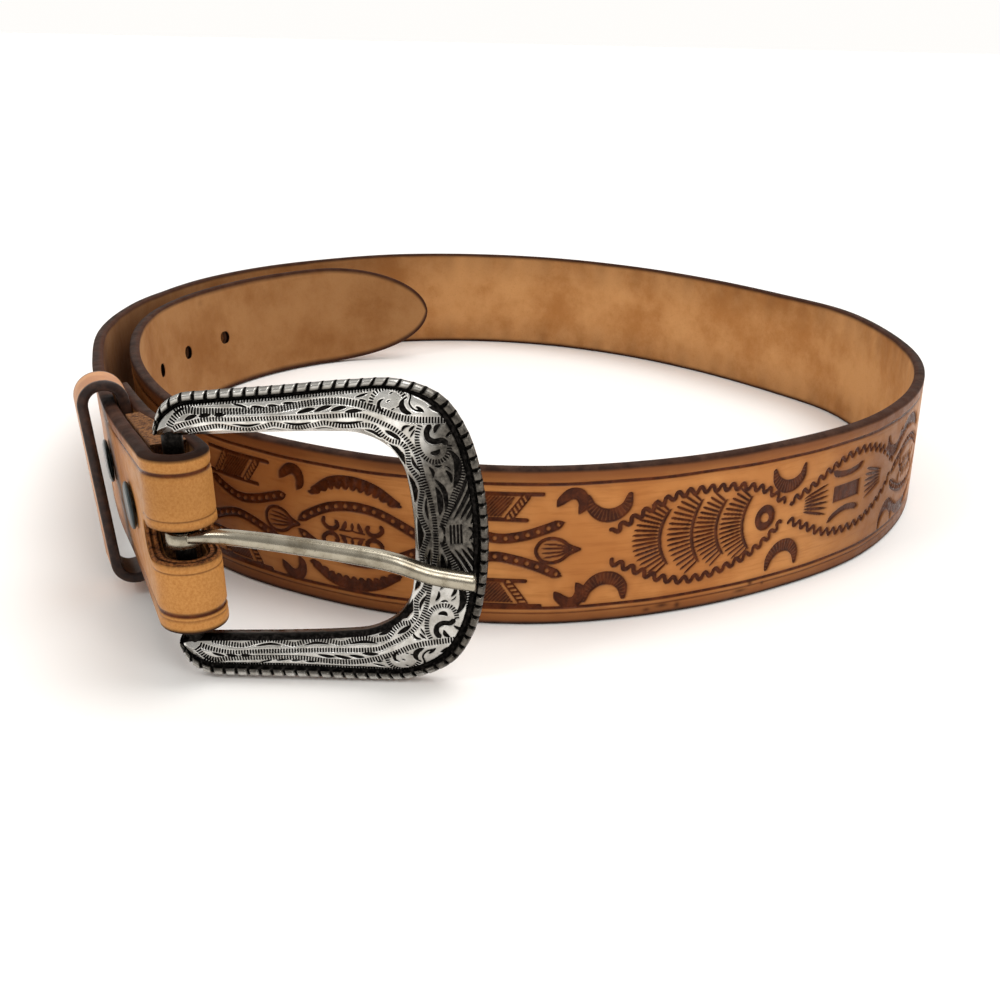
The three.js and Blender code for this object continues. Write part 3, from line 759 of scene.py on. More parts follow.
def draw_hook(relief, flip):
    def at(x, y):
        return (x, y if flip > 0 else -0.9 - y)
    line = [at(0.4, 7.9), at(-0.6, 10.2), at(0.2, 12.4), at(2.0, 12.9), at(4.0, 11.6), at(5.3, 9.9)]
    window, near, along, _, total = relief.follow(line, 2)
    share = np.clip(along / total, 0, 1)
    half = 1.45 * (0.55 + 0.45 * np.sin(math.pi * share)) * end_width(along, total, 0.12)
    relief.press(window, soft_edge(near, half, 0.15), 0.88, STAMP_DEPTH)
    relief.press(window, soft_edge(np.abs(near - half + 0.25), 0.18, 0.1), 1.0, STAMP_DEPTH + 0.1)


def draw_leaf(relief):
    middle = UNIT_MIDDLE
    upper = [(0.0, 0), (2.2, 1.0), (4.0, 2.4), (6.2, 3.0), (8.4, 2.4), (9.6, 0.8), (9.7, 0)]
    for line in (upper, mirrored(upper)):
        relief.stroke([(x, y + middle) for x, y in line], 0.85, 1.0, STAMP_DEPTH)
    for share in (-0.62, -0.22, 0.22, 0.62):
        vein = [(1.6, middle), (4.2, middle + 1.9 * share), (8.8 - abs(share), middle + 2.8 * share)]
        relief.stroke(vein, 0.5, 0.95, STAMP_DEPTH * 0.9, taper=0.25)
    relief.press(*region(relief, upper + mirrored(upper)[::-1], middle), 0.28, STAMP_DEPTH * 0.35)


def region(relief, outline, lift=0.0):
    """The cells within a closed outline"""
    points = np.asarray(outline, float) + np.array([0, lift])
    window = relief.around(points, 0.2)
    x, y = np.meshgrid(relief.x[window[0]], relief.y[window[1]], indexing="ij")
    inside = np.zeros(x.shape, bool)
    for (x0, y0), (x1, y1) in zip(points, np.roll(points, -1, axis=0)):
        crosses = (y0 > y) != (y1 > y)
        with np.errstate(divide="ignore", invalid="ignore"):
            inside ^= crosses & (x < (x1 - x0) * (y - y0) / (y1 - y0) + x0)
    return window, inside.astype(float)


def draw_flower(relief):
    """Four hooks and small petals that face each other in the middle of the eye"""
    centre = 52.4
    for turn in (1, -1):
        for side in (1, -1):
            def at(x, y):
                return (centre + side * x, UNIT_MIDDLE - 0.05 + turn * y)
            relief.stroke([at(7.2, 3.4), at(7.6, 1.9), at(6.4, 0.75), at(4.6, 0.75), at(3.8, 1.8), at(4.5, 2.9)],
                          1.15, 0.95, STAMP_DEPTH, taper=0.08)
            relief.leaf([at(3.0, 0.5), at(2.0, 1.7), at(1.6, 3.2)], 1.3, 0.9)
            relief.stroke([at(0.1, 0.9), at(1.2, 0.7), at(3.2, 0.6)], 0.5, 0.85)
        relief.leaf([(centre, UNIT_MIDDLE + turn * 0.9), (centre, UNIT_MIDDLE + turn * 2.9)], 1.0, 0.85)


def draw_eye():
    """The 67 mm unit: a leaf, two diverging beaded bands between barred blocks, and an eye of beaded bands"""
    relief = Relief(-4, 72, -HALF_WIDTH, HALF_WIDTH, CELL)
    draw_leaf(relief)
    for flip in (1, -1):
        draw_hook(relief, flip)
        draw_bar_block(relief, flip)
    beaded_band(relief, [(3.6, 6.1), (8, 4.5), (13, 2.9), (18, 2.2), (23, 3.2), (29, 5.4)])
    beaded_band(relief, [(3.8, -7.0), (9, -4.6), (14, -3.0), (19, -2.2), (24, -3.2), (30, -5.6)])
    beaded_band(relief, [(34.5, 0.4), (40, 3.2), (46, 5.6), (52, 6.2), (58, 5.2), (64, 2.5), (67.3, 0.4)])
    beaded_band(relief, [(34.5, -1.8), (40, -4.4), (46, -6.8), (52, -7.4), (58, -6.4), (64, -3.8), (67.3, -1.8)])
    scalloped(relief, [(40.8, 8.6), (46, 11.9), (52, 13.2), (58, 12.3), (63, 9.0)], 3.2, 2.25, -1)
    scalloped(relief, [(40.8, -10.0), (46, -13.2), (52, -14.3), (58, -13.5), (63, -10.4)], 3.2, 2.25, 1)
    draw_flower(relief)
    return relief


def draw_crescents(relief, at, middle=0.0):
    """A pair of crescents: the upper one with its horns up, the lower one arched"""
    upper = [(at - 5.0, 12.3), (at - 4.2, 9.6), (at - 1.8, 7.9), (at + 1.4, 7.9), (at + 4.0, 9.8), (at + 5.0, 12.3)]
    horned(relief, [(x, y + middle) for x, y in upper], 3.4)
    lower = [(at - 4.6, -12.8), (at - 4.1, -10.0), (at - 1.9, -8.0), (at + 1.7, -8.0), (at + 4.3, -10.2), (at + 5.0, -12.8)]
    horned(relief, [(x, y + middle) for x, y in lower], 3.4)


def draw_plain_loop():
    """The 48 mm unit: a loop of serpentine lines round a small panel and two little fans"""
    relief = Relief(-8, 56, -HALF_WIDTH, HALF_WIDTH, CELL)
    serpentine(relief, [(0.5, 4.3), (4, 7.1), (10, 10), (18, 11.9), (26, 11.4), (34, 8.9), (40, 6), (47, 3.3)])
    serpentine(relief, [(1.5, 0.6), (4, -1.7), (10, -5), (18, -7.7), (26, -8.3), (34, -7), (41, -4), (47, -1.4)])
    window = relief.window(20, 31, -0.1, 4.1)
    panel = np.ones(relief.tone[window].shape)
    x, y = np.meshgrid(relief.x[window[0]], relief.y[window[1]], indexing="ij")
    grain = soft_edge(np.abs((x / 0.55) % 1 - 0.5) * 0.55, 0.12, 0.08)
    relief.press(window, panel, 0.78, STAMP_DEPTH * 0.8)
    relief.press(window, grain, 0.95, STAMP_DEPTH)
    relief.stroke([(19.2, 8.6), (22, 7.4), (26, 6.9), (30, 7.4), (32, 8.4)], 1.7, 0.92, STAMP_DEPTH, taper=0.1)
    relief.stroke([(19.6, -3.4), (23, -2.7), (26, -2.6), (30, -3.6), (32.6, -5.0)], 1.7, 0.92, STAMP_DEPTH, taper=0.1)
    rays(relief, 2.0, 2.2, 6.6, 15.6, -15, 15, 6, 0.78)
    rays(relief, 48.6, 1.6, 6.6, 15.4, 165, 195, 6, 0.78)
    return relief


def draw_shell_loop():
    """The 49 mm unit: a loop of serpentine lines round a ring and four shells, with a crescent pair at its end"""
    relief = Relief(-9, 63, -HALF_WIDTH, HALF_WIDTH, CELL)
    serpentine(relief, [(1.0, 3.8), (6, 7.5), (13, 9.8), (20, 10.8), (26, 11.2), (33, 10.4), (40, 7.6), (45, 5.0),
                        (48.5, 3.0)])
    serpentine(relief, [(1.6, -1.2), (6, -4.6), (12, -7.8), (18, -9.6), (25, -10.8), (31, -10.8), (37, -9.4),
                        (43, -6.6), (48.5, -4.0)])
    relief.disc(7.0, 0.9, 3.3, 0.85, STAMP_DEPTH, inner=1.15)
    relief.disc(7.0, 0.9, 3.3, 1.0, STAMP_DEPTH + 0.08, inner=2.8)
    for inner_x, outer_x, low, high in ((14.2, 19.4, -6.4, 7.4), (21.6, 26.6, -6.2, 7.8),
                                        (28.4, 33.6, -7.0, 9.0), (36.8, 42.2, -6.6, 7.4)):
        shell(relief, inner_x, outer_x, low, high)
    draw_crescents(relief, 0.0)
    draw_crescents(relief, 49.5, -0.5)
    return relief


def draw_tooling():
    """The whole strap's tooling: the units follow each other every 238 mm"""
    relief = Relief(TOOLING_FIRST - 4, TOOLING_LAST + 4, -HALF_WIDTH, HALF_WIDTH, CELL)
    eye, plain_loop, shell_loop = draw_eye(), draw_plain_loop(), draw_shell_loop()
    single = Relief(-8, 8, -HALF_WIDTH, HALF_WIDTH, CELL)
    draw_crescents(single, 0.0, -0.9)
    for first in (84, 322, 560, 798):
        relief.stamp(eye, first)
        relief.stamp(eye, first + 67)
        relief.stamp(plain_loop, first + 134)
        relief.stamp(single, first + 134)
        relief.stamp(shell_loop, first + 182)
    return relief


def wander(run, scale, seed):
    """Smooth and small irregularity along the run, between -1 and 1"""
    draw = np.random.default_rng(seed)
    total = np.zeros_like(run)
    for pitch in (scale, scale * 0.61, scale * 0.37):
        total += np.sin(2 * math.pi * (run / pitch + draw.random())) * draw.uniform(0.6, 1)
    return total / 3


# Engraving of the buckle's upper half: places are (along from the bar, up from the middle)

ENGRAVE_DEPTH = 0.28
LADDER_PITCH = 0.58


def draw_engraving():
    relief = Relief(-5, 65, -3, 35, 0.09)
    ladder = dict(pitch=LADDER_PITCH, share=0.6, depth=ENGRAVE_DEPTH)

    # The ladder beside the rim's groove, and the dark slope beyond the corner
    rim_ladder = [(1.5, 26.6), (3, 27.6), (5, 28.2), (12, 28.5), (20, 28.9), (30, 29.6), (38, 30.2), (43, 30.7), (48, 30.2),
                  (52, 28.7), (54, 27.2), (56, 23.8), (57.5, 19.6), (58.6, 15)]
    relief.ticks(rim_ladder, 1.25, **ladder)
    edge = [(58.6, 15), (59.4, 10), (59.9, 5), (60.1, 0), (59.9, -5)]
    relief.ticks(edge, 1.4, **ladder)
    relief.ticks([(57.3, 21.5), (58.6, 17), (59.2, 13), (59.8, 7), (60.2, 0)], 0.9, tone=0.8, pitch=0.6, share=0.6,
                 depth=ENGRAVE_DEPTH)

    # Dashes between the ladders on the arm
    for start, end in (((13, 27.9), (15.8, 27.2)), ((16.5, 27.4), (19, 27.1)), ((19.5, 27.5), (21.8, 27.4)),
                       ((22.5, 27.8), (25, 27.9)), ((36.6, 28.6), (39.2, 29.4)), ((37.4, 28.2), (38.8, 27.9))):
        relief.leaf([start, end], 0.5)

    # The second and third ladders, with leaves between them
    second = [(0.3, 23.8), (2, 26), (4, 26.9), (6, 26.7), (12, 26.5), (18, 26.6), (22, 26.8), (26, 27.5), (30, 28),
              (34, 28), (38, 27.2), (42, 25.8), (45, 24.6), (48, 24), (52, 23.7), (54.5, 23.4), (56, 22), (57, 19),
              (57, 16), (56.7, 13), (56, 10.6), (55, 8.5), (54, 6), (53, 3.5), (52.2, 1.5)]
    relief.ticks(second, 1.3, **ladder)
    third = [(1, 23.2), (3, 24), (6, 24.8), (9, 25.1), (12, 25), (25, 25), (38, 25), (40, 24.2), (43, 22.7),
             (45, 21.2), (46.5, 19.5), (47.6, 17.5), (48.3, 15.5), (49, 12), (49.8, 9), (50.4, 6), (50.8, 3),
             (50.9, 0), (50.8, -3)]
    relief.ticks(third, 0.95, **ladder)
    for start, end in (((3.5, 25.0), (6, 25.9)), ((6.3, 25.6), (8.6, 25.9)), ((9.3, 25.8), (11.4, 25.85)),
                       ((25.3, 25.9), (29, 26.7)), ((28.6, 26.1), (32.2, 27.2)), ((31.8, 26.2), (35, 26.9)),
                       ((34.5, 25.9), (38, 26.1))):
        bow = ((start[0] + end[0]) / 2, (start[1] + end[1]) / 2 + 0.12)
        relief.leaf([start, bow, end], 0.85)

    # The wavy ladder along the inner edge, with slivers on both sides of it
    wavy = [(3.5, 22.4), (6, 23), (10, 23.6), (13, 22.9), (16, 22.6), (18.5, 23.2), (20.5, 23.7), (23, 23.1), (25.5, 22.7),
            (28, 23.2), (30.5, 23.7), (33, 23), (35, 22.8), (38, 23.1), (40, 22.6), (41.5, 20.8), (43, 19.7),
            (45, 19.2), (46, 18), (46.2, 16), (46.3, 14.5), (47.2, 13), (48.2, 11.5), (48.6, 9.5), (48.3, 7.5),
            (48, 6), (48, 4), (48.6, 2.2), (49.3, 0.7), (49.3, -0.7), (48.6, -2.2)]
    relief.ticks(wavy, 1.0, **ladder)
    slivers = (
        ((12.5, 23.9), (15.7, 23.5), (18.2, 23.9), 0.55), ((22.4, 24.0), (25.3, 23.5), (28, 23.9), 0.55),
        ((31.8, 23.9), (35, 23.5), (38, 23.9), 0.6), ((42.0, 21.9), (43.3, 21.1), (45, 19.9), 1.0),
        ((46.9, 16.6), (47.2, 15.2), (48.4, 13.3), 0.7), ((49.4, 8.0), (49.2, 5.5), (49.6, 3.2), 0.6),
        ((28.2, 22.3), (30.2, 22.6), (32.2, 22.3), 0.35), ((18.8, 22.3), (20.4, 22.6), (22, 22.3), 0.35),
        ((38.0, 22.1), (39.6, 21.6), (41.2, 20.2), 0.75),
    )
    for *line, width in slivers:
        relief.leaf(line, width)
    for corners in (((42.4, 19.0), (44.2, 18.4), (45.5, 16.8), (45.5, 14.4), (44.4, 16.2)),
                    ((45.9, 12.6), (47.2, 11.2), (47.8, 9.4), (47.4, 7.4), (46.9, 6.6), (46.6, 9.6)),
                    ((47.3, 3.7), (48.0, 2.2), (48.5, 0.0), (48.0, -2.2), (47.3, -3.7), (47.2, 0.0))):
        window, mask = region(relief, corners)
        relief.press(window, mask, 1.0, ENGRAVE_DEPTH)

    # The scroll at the upper corner
    relief.ticks([(39.6, 26.9), (39.8, 28.3), (40.8, 29.6), (42.4, 30.3), (44.2, 30.2), (45.6, 29.3), (46.2, 28.4)],
                 0.9, **ladder)
    relief.leaf([(42.2, 28.3), (41.2, 27.6), (41.3, 26.3), (42.3, 25.6)], 0.7)
    relief.leaf([(46.0, 28.2), (45.5, 27.0), (46.0, 25.8), (47.4, 25.1)], 1.2)
    for x, y in ((43.0, 27.8), (43.8, 26.2), (44.8, 26.6), (43.6, 29.3)):
        relief.leaf([(x - 0.4, y - 0.2), (x + 0.4, y + 0.2)], 0.35)
    relief.stroke([(47.0, 30.0), (47.3, 28.6), (47.0, 27.2), (47.8, 26.0), (49.4, 25.5)], 0.35, 1.0, ENGRAVE_DEPTH, 0.1)
    for line, width in (([(48.0, 29.2), (49.2, 28.8), (50.4, 28.2)], 0.6), ([(49.8, 28.9), (51.2, 27.9), (52.6, 27.5)], 0.5),
                        ([(48.2, 26.6), (49.0, 26.0), (49.8, 25.3)], 0.7), ([(50.6, 26.4), (52.4, 25.7), (54.4, 24.9)], 1.0),
                        ([(52.0, 27.0), (53.4, 26.4), (54.6, 26.0)], 0.4)):
        relief.leaf(line, width)

    # The scroll below it
    relief.ticks([(48.9, 23.0), (48.3, 21.4), (48.2, 19.2), (48.8, 17.2), (50, 15.9), (51.8, 15.4), (53.3, 15.9),
                  (54.2, 17.3), (54.4, 18.8)], 0.95, **ladder)
    relief.stroke([(50.9, 22.9), (50.1, 21.6), (50.3, 20.2), (51.4, 19.5), (53, 19.6), (54, 18.8)], 1.1, 1.0,
                  ENGRAVE_DEPTH, 0.06)
    for line, width in (([(52.8, 22.9), (51.9, 22.2), (51.6, 21.1)], 0.9), ([(53.6, 20.2), (54.9, 21.1), (56.1, 20.6)], 0.7),
                        ([(50.6, 17.3), (51.8, 17.2), (52.5, 17.9)], 1.0), ([(45.2, 21.6), (45.8, 22.6), (47.0, 22.9)], 0.6),
                        ([(46.6, 21.6), (47.2, 22.3), (47.9, 22.9)], 0.6), ([(46.8, 20.4), (47.4, 21.4), (47.9, 22.2)], 0.4),
                        ([(51.2, 14.6), (52.1, 14.4), (52.8, 14.7)], 0.5), ([(53.2, 14.5), (54.0, 14.1), (54.6, 13.3)], 0.3)):
        relief.leaf(line, width)
    relief.leaf([(54.4, 17.6), (55.6, 15.6), (55.8, 13.0), (54.9, 9.8)], 1.5)
    relief.leaf([(51.2, 11.9), (52.8, 9.8), (53.3, 7.2), (53.1, 5.2)], 1.0)
    relief.leaf([(51.3, 10.2), (52.0, 8.4), (52.1, 6.2), (51.9, 4.2)], 1.3)
    relief.leaf([(53.4, 13.6), (54.3, 12.4), (54.5, 10.8)], 0.8)
    relief.leaf([(50.2, 14.4), (50.9, 13.4), (51.0, 12.2)], 0.7)

    # Long strokes that fan out towards the rim, and ticks at the middle
    for line, width in ((((53.5, 3.4), (55.6, 7.2), (57.4, 11.5), (58.1, 14.8)), 0.75),
                        (((54.5, 3.1), (56.5, 6.4), (58.2, 10), (58.8, 13)), 0.85),
                        (((55.9, 3.1), (57.3, 5.4), (58.8, 8), (59.4, 10.5)), 0.85),
                        (((57.0, 2.9), (58.1, 4.6), (59.2, 6.8)), 0.8), (((57.9, 1.9), (58.7, 3.2), (59.4, 5)), 0.7)):
        relief.leaf(line, width)
    for x in (53.9, 54.6, 55.3, 56.0):
        relief.stroke([(x, 1.9), (x, -1.9)], 0.42, 1.0, ENGRAVE_DEPTH)
    relief.leaf([(57.4, 1.4), (58.4, 0.6), (58.6, -0.6), (57.4, -1.4)], 0.8)
    relief.leaf([(51.9, 2.4), (52.6, 1.2), (52.6, 0)], 0.6)
    return relief


# Materials

def srgb(red, green, blue):
    """A colour given as 0 to 255 on a screen, as the shader reads it"""
    shares = [part / 255 for part in (red, green, blue)]
    return tuple(p / 12.92 if p <= 0.04045 else ((p + 0.055) / 1.055) ** 2.4 for p in shares)


class Shader:
    """A material's nodes, with its Principled shader's numbers set on its own sockets"""

    def __init__(self, name, roughness=0.5, metallic=0.0, specular=0.5):
        self.material = bpy.data.materials.new(name)
        self.material.use_nodes = True
        self.tree = self.material.node_tree
        self.surface = self.tree.nodes["Principled BSDF"]
        self.surface.inputs["Roughness"].default_value = roughness
        self.surface.inputs["Metallic"].default_value = metallic
        self.surface.inputs["Specular IOR Level"].default_value = specular
        coordinates = self.tree.nodes.new("ShaderNodeTexCoord")
        scale = self.tree.nodes.new("ShaderNodeVectorMath")
        scale.operation = "SCALE"
        scale.inputs["Scale"].default_value = 1 / METRES
        self.tree.links.new(coordinates.outputs["Object"], scale.inputs[0])
        self.place = scale.outputs[0]

    def put(self, value, socket):
        if isinstance(value, bpy.types.NodeSocket):
            self.tree.links.new(value, socket)
        elif isinstance(value, tuple):
            socket.default_value = (*value, 1) if len(socket.default_value) == 4 else value
        else:
            socket.default_value = value

    def attribute(self, name):
        node = self.tree.nodes.new("ShaderNodeAttribute")
        node.attribute_name = name
        return node.outputs["Fac"]

    def noise(self, scale, detail=3.0, roughness=0.5, place=None):
        """Noise with a scale in cycles for each millimetre"""
        node = self.tree.nodes.new("ShaderNodeTexNoise")
        self.put(self.place if place is None else place, node.inputs["Vector"])
        node.inputs["Scale"].default_value = scale
        node.inputs["Detail"].default_value = detail
        node.inputs["Roughness"].default_value = roughness
        return node.outputs["Fac"]

    def cells(self, scale, place=None):
        node = self.tree.nodes.new("ShaderNodeTexVoronoi")
        self.put(self.place if place is None else place, node.inputs["Vector"])
        node.inputs["Scale"].default_value = scale
        return node.outputs["Distance"]

    def stretched(self, along, up, out):
        """Places along and across the strap, in millimetres times a share each"""
        node = self.tree.nodes.new("ShaderNodeCombineXYZ")
        for socket, name, share in zip(node.inputs, ("run", "up", "out"), (along, up, out)):
            self.put(self.math("MULTIPLY", self.attribute(name), share), socket)
        return node.outputs[0]

    def math(self, operation, first, second=0.0):
        node = self.tree.nodes.new("ShaderNodeMath")
        node.operation = operation
        self.put(first, node.inputs[0])
        self.put(second, node.inputs[1])
        return node.outputs[0]

    def between(self, value, low, high, to_low=0.0, to_high=1.0):
        node = self.tree.nodes.new("ShaderNodeMapRange")
        node.interpolation_type = "SMOOTHSTEP"
        for socket, number in zip(node.inputs, (value, low, high, to_low, to_high)):
            self.put(number, socket)
        return node.outputs[0]

    def mix(self, share, first, second, blend="MIX"):
        node = self.tree.nodes.new("ShaderNodeMix")
        node.data_type = "RGBA"
        node.blend_type = blend
        self.put(share, node.inputs["Factor"])
        self.put(first, node.inputs["A"])
        self.put(second, node.inputs["B"])
        return node.outputs["Result"]

    def colour(self, value):
        self.put(value, self.surface.inputs["Base Color"])

    def bump(self, height, strength, distance=0.1):
        node = self.tree.nodes.new("ShaderNodeBump")
        node.inputs["Strength"].default_value = strength
        node.inputs["Distance"].default_value = distance * METRES
        self.put(height, node.inputs["Height"])
        self.put(node.outputs[0], self.surface.inputs["Normal"])


def strap_material():
    shader = Shader("tooled_leather_worn", 0.4, 0.0, 0.1)
    cloud = shader.noise(0.045, 4, 0.55)
    streak = shader.noise(0.9, 4, 0.6, shader.stretched(0.12, 1.0, 1.0))
    pores = shader.noise(2.4, 3, 0.6)
    tan = shader.mix(shader.between(cloud, 0.3, 0.7), srgb(204, 140, 79), srgb(178, 113, 58))
    tan = shader.mix(shader.between(streak, 0.45, 0.75, 0, 0.4), tan, srgb(150, 88, 40))
    tan = shader.mix(shader.math("MULTIPLY", shader.attribute("halo"), 0.85), tan, srgb(112, 62, 33))
    fold = shader.attribute("fold")
    gold = shader.mix(shader.between(shader.noise(1.7, 5, 0.75), 0.3, 0.75), srgb(200, 142, 78), srgb(176, 116, 58))
    tan = shader.mix(fold, tan, gold)
    stamp = shader.mix(shader.between(shader.noise(0.35, 4, 0.6), 0.35, 0.7), srgb(62, 27, 12), srgb(96, 46, 20))
    face = shader.mix(shader.between(shader.attribute("tone"), 0.12, 0.85), tan, stamp)
    flesh = shader.mix(shader.between(shader.noise(0.035, 6, 0.65), 0.35, 0.68), srgb(202, 148, 94), srgb(172, 116, 64))
    flesh = shader.mix(shader.between(shader.noise(1.6, 4, 0.7), 0.5, 0.8, 0, 0.3), flesh, srgb(136, 84, 42))
    face = shader.mix(shader.attribute("inside"), face, flesh)
    edge = shader.mix(shader.between(shader.noise(0.25, 5, 0.65), 0.35, 0.7), srgb(40, 26, 20), srgb(68, 47, 37))
    edge = shader.mix(shader.math("MULTIPLY", fold, 0.8), edge, srgb(30, 18, 12))
    face = shader.mix(shader.attribute("edge"), face, edge)
    fibre = shader.mix(shader.between(shader.noise(1.2, 5, 0.75), 0.38, 0.62), srgb(150, 92, 48), srgb(62, 32, 18))
    face = shader.mix(shader.attribute("fibre"), face, fibre)
    # Dark marks on the leather and painted shade share this colour: painted shade between the layers, over the front
    # under the buckle and at the right of the front.
    face = shader.mix(shader.attribute("stain_and_painted_shade"), face, srgb(66, 33, 15))
    shader.colour(face)
    rough = shader.between(shader.noise(0.3, 4), 0.3, 0.75, 0.34, 0.52)
    bare = shader.math("MAXIMUM", shader.attribute("inside"), shader.attribute("edge"))
    bare = shader.math("MAXIMUM", bare, shader.attribute("fibre"))
    rough = shader.math("ADD", rough, shader.math("MULTIPLY", bare, 0.4))
    rough = shader.math("SUBTRACT", rough, shader.math("MULTIPLY", shader.attribute("tone"), 0.16))
    shader.put(rough, shader.surface.inputs["Roughness"])
    grain = shader.math("ADD", pores, shader.math("MULTIPLY", streak, 0.6))
    shader.bump(grain, 0.35, 0.12)
    return shader.material


def raw_material():
    shader = Shader("cork_coloured_leather_fibre", 0.92, 0.0, 0.2)
    colour = shader.mix(shader.between(shader.noise(1.1, 5, 0.7), 0.35, 0.65), srgb(138, 92, 52), srgb(62, 35, 20))
    shader.colour(colour)
    shader.bump(shader.noise(1.6, 5, 0.7), 0.9, 0.5)
    return shader.material


def keeper_material():
    shader = Shader("keeper_leather_worn", 0.45, 0.0, 0.3)
    tan = shader.mix(shader.between(shader.noise(0.12, 4, 0.6), 0.35, 0.65), srgb(192, 132, 77), srgb(168, 106, 55))
    edge = shader.mix(shader.between(shader.noise(0.5, 4, 0.6), 0.35, 0.7), srgb(34, 20, 16), srgb(62, 40, 30))
    shader.colour(shader.mix(shader.attribute("edge"), tan, edge))
    shader.bump(shader.noise(2.2, 4, 0.6), 0.4, 0.12)
    return shader.material


def silver_material():
    shader = Shader("antique_silver_worn", 0.3, 1.0)
    metal = shader.mix(shader.between(shader.noise(0.25, 4, 0.6), 0.35, 0.7), srgb(232, 230, 225), srgb(184, 180, 172))
    tone = shader.attribute("tone")
    # Dark: the engraving and the oxide in its hollows, and painted shade on the bar, whose tone is set dark all over.
    dark = shader.mix(shader.between(shader.noise(1.4, 3, 0.6), 0.4, 0.7), srgb(14, 13, 12), srgb(40, 37, 35))
    # Grey: the dull oxide of the metal, and painted shade over the band's front, its lower arm and the beads' flanks.
    grey = shader.mix(shader.between(shader.noise(0.8, 4, 0.65), 0.3, 0.7), srgb(104, 99, 92), srgb(58, 55, 51))
    metal = shader.mix(shader.attribute("patina_and_painted_shade"), metal, grey)
    shader.colour(shader.mix(shader.between(tone, 0.3, 0.58), metal, dark))
    rough = shader.between(shader.noise(0.5, 4), 0.3, 0.75, 0.2, 0.36)
    rough = shader.math("ADD", rough, shader.math("MULTIPLY", tone, 0.25))
    shader.put(rough, shader.surface.inputs["Roughness"])
    shader.bump(shader.noise(1.3, 4, 0.6), 0.18, 0.08)
    return shader.material


def nickel_material():
    shader = Shader("bright_nickel_worn", 0.18, 1.0)
    shader.colour(shader.mix(shader.between(shader.noise(0.2, 4, 0.6), 0.4, 0.7), srgb(170, 162, 145), srgb(126, 117, 100)))
    scratch = shader.noise(0.8, 3, 0.6)
    shader.put(shader.between(scratch, 0.3, 0.8, 0.24, 0.3), shader.surface.inputs["Roughness"])
    shader.bump(shader.noise(0.25, 1, 0.4), 0.06, 0.1)
    return shader.material


def enamel_material():
    shader = Shader("dark_enamel_worn", 0.28, 0.35, 0.5)
    shader.colour(shader.mix(shader.between(shader.noise(0.6, 4, 0.6), 0.5, 0.75), srgb(26, 38, 40), srgb(58, 70, 68)))
    shader.bump(shader.noise(1.6, 4, 0.6), 0.2, 0.08)
    return shader.material


def floor_material():
    shader = Shader("pale_floor", 0.6, 0.0, 0.3)
    shader.colour(srgb(246, 244, 241))
    return shader.material


leather = strap_material()
raw = raw_material()
keeper_leather = keeper_material()
silver = silver_material()
nickel = nickel_material()
enamel = enamel_material()


# Strap pieces

def even_runs(low, high, spacing):
    return np.linspace(low, high, max(int(round((high - low) / spacing)), 1) + 1)


tooling = draw_tooling()
tooling_halo = tooling.halo(0.9)

# Grooves along both edges of the strap's outer face: height, width, tone and depth
GROOVES = ((15.3, 0.8, 0.9, 0.35), (14.2, 0.4, 0.25, 0.08), (-14.8, 0.8, 0.9, 0.35), (-16.1, 0.5, 0.6, 0.2))

# Soft dark marks and painted shade: run, up, half lengths along and up, strength, and the face, 1 outer or -1 inner.
# The wide marks on the inner face at runs 118, 180 and 320 are painted shade in the gap between the outer layer and the
# billet, and the wide mark at run 696 on the outer face is painted shade towards the right of the front.
STAINS_AND_PAINTED_SHADE = (
    (760, 18.4, 22, 1.2, 0.3, 1), (838, 17.8, 16, 1.6, 0.35, 1), (900, 17.2, 18, 2.0, 0.4, 1),
    (777, -16.7, 1.6, 0.5, 0.9, 1), (773, -17.2, 0.7, 0.8, 0.9, 1), (781, -17.3, 0.9, 0.5, 0.8, 1),
    (752, -15.4, 0.7, 0.7, 0.9, 1), (755, -16.8, 1.8, 0.4, 0.8, 1), (748, -16.2, 0.5, 0.5, 0.8, 1), (1048, 16.5, 38, 2.4, 0.5, -1),
    (1120, 16.0, 20, 2.2, 0.55, -1), (1102, 12.0, 8, 2.6, 0.35, -1), (1080, -10, 14, 5, 0.25, -1),
    (1062, 15.0, 5, 3.2, 0.6, -1), (1074, 13.4, 4, 2.2, 0.5, -1), (1090, 15.6, 9, 2.4, 0.5, -1),
    (1028, 15.8, 14, 2.6, 0.5, -1), (1140, -5.5, 2.2, 1.8, 0.5, -1), (1150, 0, 26, 30, 0.12, -1),
    (180, 6, 125, 30, 0.85, -1), (320, 15, 60, 8, 0.5, -1), (696, 0, 34, 40, 0.66, 1),
    (45, 0, 42, 40, 0.28, 1), (-3, 11, 17, 9, 0.28, 1), (118, 0, 62, 60, 0.95, -1), (640, 0, 75, 50, 0.16, -1),
)


